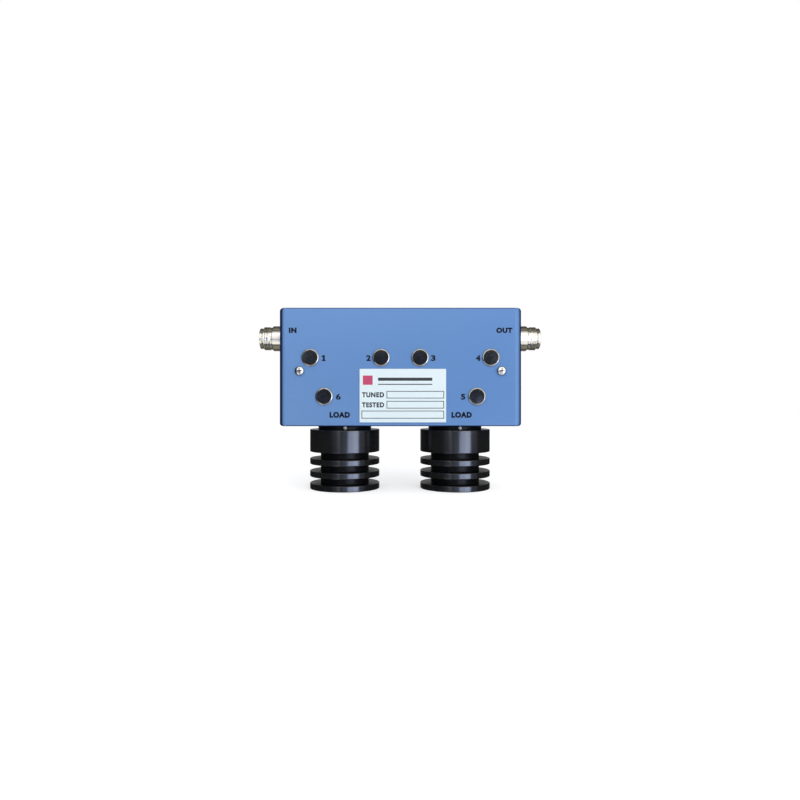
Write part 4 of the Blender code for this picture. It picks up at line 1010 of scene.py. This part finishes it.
def empty_field(bm, left, right, low, high, front):
    """An empty field with a printed border."""
    line = FIELD_LINE
    outer = [(left, low), (right, low), (right, high), (left, high)]
    inner = [(left + line, low + line), (right - line, low + line)]
    inner += [(right - line, high - line), (left + line, high - line)]
    rings = []
    for depth in (front - INK, front + INK):
        rings.append([[bm.verts.new((x, depth, z)) for x, z in ring] for ring in (outer, inner)])
    (front_outer, front_inner), (back_outer, back_inner) = rings
    for i in range(4):
        j = (i + 1) % 4
        bm.faces.new((front_outer[i], front_outer[j], front_inner[j], front_inner[i]))
        bm.faces.new((back_outer[i], back_inner[i], back_inner[j], back_outer[j]))
        bm.faces.new((front_outer[i], back_outer[i], back_outer[j], front_outer[j]))
        bm.faces.new((front_inner[i], front_inner[j], back_inner[j], back_inner[i]))


def words(name, text, left, right, low, high, front, weight):
    """Bold block letters that fill a box in front view, as a thin solid."""
    curve = bpy.data.curves.new(name, "FONT")
    curve.body = text
    curve.size = 1
    curve.offset = weight
    curve.space_character = LETTER_SPACING
    curve.extrude = 0.5
    curve.resolution_u = LETTER_STEPS
    letters = bpy.data.objects.new(name, curve)
    bpy.context.scene.collection.objects.link(letters)
    mesh = applied(letters)
    bpy.data.objects.remove(letters, do_unlink=True)
    bm = bmesh.new()
    bm.from_mesh(mesh)
    bmesh.ops.remove_doubles(bm, verts=bm.verts, dist=WELD)
    xs = [vert.co.x for vert in bm.verts]
    ys = [vert.co.y for vert in bm.verts]
    up = (high - low) / (max(ys) - min(ys))
    across = (right - left) / (max(xs) - min(xs))
    for vert in bm.verts:
        x = left + (vert.co.x - min(xs)) * across
        z = low + (vert.co.y - min(ys)) * up
        vert.co = Vector((x, front + 2 * INK * vert.co.z, z))
    return add(name, bm)


# Letters and digits on the front: text, left, right, low and high in millimetres, and how bold
MARKS = (
    ("mark_in", "IN", -72.2, -67.2, 103.5, 107.0, 0.070),
    ("mark_out", "OUT", 61.9, 72.3, 103.5, 107.0, 0.070),
    ("mark_load_left", "LOAD", -45.9, -32.7, 48.7, 52.5, 0.070),
    ("mark_load_right", "LOAD", 32.9, 46.1, 48.7, 52.5, 0.070),
    ("mark_2", "2", -22.2, -19.2, 85.4, 89.2, 0.045),
    ("mark_3", "3", 19.7, 22.6, 85.4, 89.2, 0.045),
    ("mark_4", "4", 48.7, 51.7, 85.4, 89.2, 0.045),
    ("mark_5", "5", 39.0, 41.9, 60.4, 64.2, 0.045),
    ("mark_6", "6", -41.8, -38.7, 60.4, 64.2, 0.035),
)
# The label's print, in millimetres: left, right, low and high, and the captions' low edges
FIELDS = ((-9.0, 28.1, 61.2, 66.0), (-9.0, 28.1, 54.7, 59.6), (-25.2, 28.1, 48.2, 53.3))
BARS = ((-14.5, 20.5, 72.6, 74.6), (-14.5, 20.5, 70.0, 70.6))
BLOCKS = ((-24.3, -18.0, 70.0, 76.0),)
CAPTIONS = (("caption_upper", "TUNED", 61.9), ("caption_lower", "TESTED", 55.4))
CAPTION_LEFT = -24.9
CAPTION_RIGHT = -10.6
CAPTION_HEIGHT = 3.3
CAPTION_WEIGHT = 0.045
FIELD_LINE = 0.45 * MM
# The digit one, with a flag and a foot, in shares of its width and height
DIGIT_ONE = ((0, 0), (1, 0), (1, 0.2), (0.78, 0.2), (0.78, 1), (0.38, 1), (0, 0.84), (0, 0.62), (0.3, 0.72),
             (0.3, 0.2), (0, 0.2))
DIGIT_ONE_BOX = (-50.9, -48.4, 85.4, 89.2)


def in_metres(millimetres):
    return [value * MM for value in millimetres]


def marks(ink):
    """The letters and digits on the front of the box."""
    left, right, low, high = in_metres(DIGIT_ONE_BOX)
    outline = [(left + (right - left) * x, low + (high - low) * z) for x, z in DIGIT_ONE]
    dress(add("mark_1", slab(outline, FRONT_FACE - INK, FRONT_FACE + INK)), ink, PRINT_SLOT)
    for name, text, *box, weight in MARKS:
        dress(words(name, text, *in_metres(box), FRONT_FACE, weight), ink, PRINT_SLOT)


def label(white, ink, grey, red):
    """The label plate with its printed fields, which are left blank."""
    middle = ((LABEL_LOW.x + LABEL_HIGH.x) / 2, (LABEL_LOW.z + LABEL_HIGH.z) / 2)
    width, height = LABEL_HIGH.x - LABEL_LOW.x, LABEL_HIGH.z - LABEL_LOW.z
    front = LABEL_LOW.y
    sections = []
    for inset, depth in ((LABEL_BEVEL, front), (0, front + LABEL_BEVEL), (0, LABEL_HIGH.y)):
        outline = rounded_rectangle(width - 2 * inset, height - 2 * inset, LABEL_CORNER_RADIUS, middle)
        sections.append([(x, depth, z) for x, z in outline])
    dress(keep_flats(add("label_sheet", loft(sections))), white, "label_white", "label_plate")

    bm = bmesh.new()
    for box in FIELDS:
        empty_field(bm, *in_metres(box), front)
    for box in BARS:
        bar(bm, *in_metres(box), front)
    dress(add("label_lines", bm), grey, PRINT_SLOT)
    bm = bmesh.new()
    for box in BLOCKS:
        bar(bm, *in_metres(box), front)
    dress(add("label_block", bm), red, PRINT_SLOT)
    for name, text, low in CAPTIONS:
        box = (CAPTION_LEFT, CAPTION_RIGHT, low, low + CAPTION_HEIGHT)
        dress(words(name, text, *in_metres(box), front, CAPTION_WEIGHT), ink, PRINT_SLOT)


# Light, floor and camera

STUDIO_CENTRE = Vector((0, 0, 60 * MM))
STUDIO_RADIUS = 1.0
FLOOR_RADIUS = 0.9
FLOOR_DROP = 0.02 * MM
FLOOR_SIDES = 96
# Light of the world on the object, and the floor's own light towards the camera
WORLD_LEVEL = 0.56
FLOOR_LEVEL = 0.5
CAMERA_PLACE = (-7.0 * MM, -413.2 * MM, 60.2 * MM)
CAMERA_LENS = 27
CAMERA_SHIFT = 0.0129

WHITE = (1.0, 1.0, 1.0)
COOL = (0.77, 0.91, 1.30)
OLIVE = (1.04, 1.0, 0.82)

# Panels: azimuths from the front, elevations, brightness, colour, and whether matt things get its light
PANELS = (
    ("left_side", -40, -23, -3, 9, 0.4, COOL, False),
    ("left_side_high", -40, -28, 9, 50, 0.8, COOL, False),
    ("left_front", -23, -14.5, -3, 9, 1.9, WHITE, True),
    ("left_front_high", -28, -16, 9, 50, 2.3, WHITE, True),
    ("front_strip", -16, -11, 10, 50, 0.10, COOL, False),
    ("front_high", -11, 14, 10, 50, 1.9, WHITE, True),
    ("front_dark", -14.5, 17, -3, 10, 0.10, COOL, False),
    ("front_right", 17, 20, -3, 10, 2.0, WHITE, False),
    ("front_right_high", 14, 20, 10, 18, 1.8, WHITE, False),
    ("key_high", 14, 47, 18, 50, 1.5, WHITE, True),
    ("key_middle", 20, 47, -3, 18, 3.5, WHITE, True),
    ("key_low", 11, 30, -15, -3, 5.0, COOL, True),
    ("key_low_right", 30, 47, -15, -3, 6.2, COOL, True),
    ("weak_first", -40, -36, -17, -3, 0.08, COOL, False),
    ("weak_second", -36, -22, -17, -3, 0.20, COOL, False),
    ("weak_third", -22, -18.5, -10, -3, 0.34, COOL, False),
    ("weak_streak", -18.5, -13.5, -10, -3, 0.8, COOL, False),
    ("weak_middle", -13.5, -5, -10, -3, 0.38, COOL, False),
    ("weak_low", -22, -16, -17, -10, 1.4, WHITE, False),
    ("weak_strip", -16, -5, -17, -10, 0.3, COOL, False),
    ("weak_fourth", -5, 11, -17, -3, 0.75, COOL, False),
    ("under_left", -40, -16, -52, -17, 1.6, WHITE, False),
    ("under_strip", -16, -11, -52, -17, 0.10, COOL, False),
    ("under_front", -11, 14, -52, -17, 0.9, WHITE, False),
    ("key_under", 14, 47, -52, -15, 1.3, WHITE, False),
    ("front_top", -40, 47, 50, 62, 0.8, WHITE, True),
    ("right_high", 47, 70, -3, 62, 0.8, WHITE, True),
    ("right_low", 47, 70, -15, -3, 0.35, COOL, False),
    ("right_under", 47, 70, -52, -15, 0.4, WHITE, False),
    ("dark_left", -150, -40, -52, 62, 0.03, WHITE, False),
    ("dark_right", 70, 150, -52, 62, 0.03, WHITE, False),
    ("dark_behind_left", 200, 210, -20, 18, 0.03, WHITE, False),
    ("dark_behind_right", 150, 160, -20, 18, 0.03, WHITE, False),
    ("behind", 160, 200, -20, 18, 0.5, WHITE, False),
    ("grey_behind", 150, 210, 18, 62, 0.13, OLIVE, False),
    ("grey_behind_low", 150, 210, -52, -20, 0.13, OLIVE, False),
    ("cap", -180, 180, 62, 70, 0.07, OLIVE, False),
    ("cap_top", -180, 180, 70, 89, 0.26, OLIVE, False),
    ("foot", -180, 180, -62, -52, 0.07, OLIVE, False),
    ("foot_low", -180, 180, -89, -62, 0.26, OLIVE, False),
)


def panel(name, left, right, low, high, brightness, colour, lights):
    """A piece of a sphere round the object that shines inwards and that the camera can't see."""
    across = max(2, round((right - left) / PANEL_FACET))
    up = max(2, round((high - low) / PANEL_FACET))
    bm = bmesh.new()
    grid = []
    for i in range(up + 1):
        elevation = math.radians(low + (high - low) * i / up)
        row = []
        for j in range(across + 1):
            azimuth = math.radians(left + (right - left) * j / across)
            level = math.cos(elevation)
            way = Vector((math.sin(azimuth) * level, -math.cos(azimuth) * level, math.sin(elevation)))
            row.append(bm.verts.new(STUDIO_CENTRE + way * STUDIO_RADIUS))
        grid.append(row)
    for low_row, high_row in zip(grid, grid[1:]):
        for j in range(across):
            bm.faces.new((low_row[j], low_row[j + 1], high_row[j + 1], high_row[j]))
    obj = add(f"panel_{name}", bm)
    made = bpy.data.materials.new(f"panel {name}")
    made.use_nodes = True
    tree = made.node_tree
    tree.nodes.clear()
    glow = fill(tree.nodes.new("ShaderNodeEmission"), Color=(*colour, 1), Strength=brightness)
    out = tree.nodes.new("ShaderNodeOutputMaterial")
    tree.links.new(glow.outputs[0], out.inputs["Surface"])
    obj.data.materials.append(made)
    obj.visible_camera = False
    obj.visible_shadow = False
    obj.visible_transmission = False
    obj.visible_diffuse = lights


def seen_directly(tree):
    """1 for camera, glossy and transmission rays, and 0 for diffuse ones."""
    path = tree.nodes.new("ShaderNodeLightPath")
    total = path.outputs["Is Camera Ray"]
    for ray in ("Is Glossy Ray", "Is Transmission Ray"):
        most = tree.nodes.new("ShaderNodeMath")
        most.operation = "MAXIMUM"
        tree.links.new(total, most.inputs[0])
        tree.links.new(path.outputs[ray], most.inputs[1])
        total = most.outputs[0]
    return total


def world(diffuse_level):
    """A white world, with less light for matt surfaces."""
    made = bpy.data.worlds.new("studio")
    bpy.context.scene.world = made
    made.use_nodes = True
    tree = made.node_tree
    background = fill(tree.nodes["Background"], Color=(1, 1, 1, 1))
    remap = fill(tree.nodes.new("ShaderNodeMapRange"), To_Min=diffuse_level, To_Max=1.0)
    tree.links.new(seen_directly(tree), remap.inputs["Value"])
    tree.links.new(remap.outputs["Result"], background.inputs["Strength"])


def floor(own_light):
    """A pale floor. Its glow reaches the camera but lights nothing, so that the shadow stays."""
    bm = bmesh.new()
    bmesh.ops.create_circle(bm, cap_ends=True, segments=FLOOR_SIDES, radius=FLOOR_RADIUS)
    obj = add("floor", bm, (0, 0, -FLOOR_DROP))
    made = bpy.data.materials.new("white floor")
    made.use_nodes = True
    tree = made.node_tree
    shader = tree.nodes["Principled BSDF"]
    fill(shader, Base_Color=(0.9, 0.9, 0.9, 1), Roughness=0.9, Specular_IOR_Level=0)
    glow = tree.nodes.new("ShaderNodeEmission")
    level = tree.nodes.new("ShaderNodeMath")
    level.operation = "MULTIPLY"
    level.inputs[1].default_value = own_light
    tree.links.new(seen_directly(tree), level.inputs[0])
    tree.links.new(level.outputs[0], glow.inputs["Strength"])
    both = tree.nodes.new("ShaderNodeAddShader")
    tree.links.new(shader.outputs[0], both.inputs[0])
    tree.links.new(glow.outputs[0], both.inputs[1])
    tree.links.new(both.outputs[0], tree.nodes["Material Output"].inputs["Surface"])
    obj.data.materials.append(made)
    obj.visible_glossy = False


def camera():
    lens = bpy.data.cameras.new("camera")
    lens.lens = CAMERA_LENS
    lens.sensor_width = 36
    lens.shift_x = CAMERA_SHIFT
    lens.clip_start = 10 * MM
    obj = bpy.data.objects.new("camera", lens)
    bpy.context.scene.collection.objects.link(obj)
    obj.location = CAMERA_PLACE
    obj.rotation_euler = TO_FRONT
    bpy.context.scene.camera = obj


def dress_solids(materials):
    """Gives each CAD node the finish of its slot, which its own material is named after."""
    for node in frame["nodes"].values():
        for slot in node.material_slots:
            slot.material = materials[slot.material.name]


def build():
    made = finishes()
    dress_solids(made)
    box_shell(made["blue_anodised"])
    box_back(made["blue_anodised"])
    pan_screw(made["nickel_screw"], made["recess_shade"])
    snap_plugs(made["dark_nickel"], made["rim_highlight"])
    jack_insides(made["white_insulator"], made["gold_plate"], *jack_shell(made["nickel_plate"]))
    finned_loads(made["black_anodised"], made["painted_shade_black"], made["zinc_painted_bright"])
    label(made["label_white"], made["ink"], made["grey_ink"], made["red_ink"])
    marks(made["ink"])
    for row in PANELS:
        panel(*row)
    world(WORLD_LEVEL)
    floor(FLOOR_LEVEL)
    camera()
    bpy.context.scene.view_settings.view_transform = "Standard"


build()
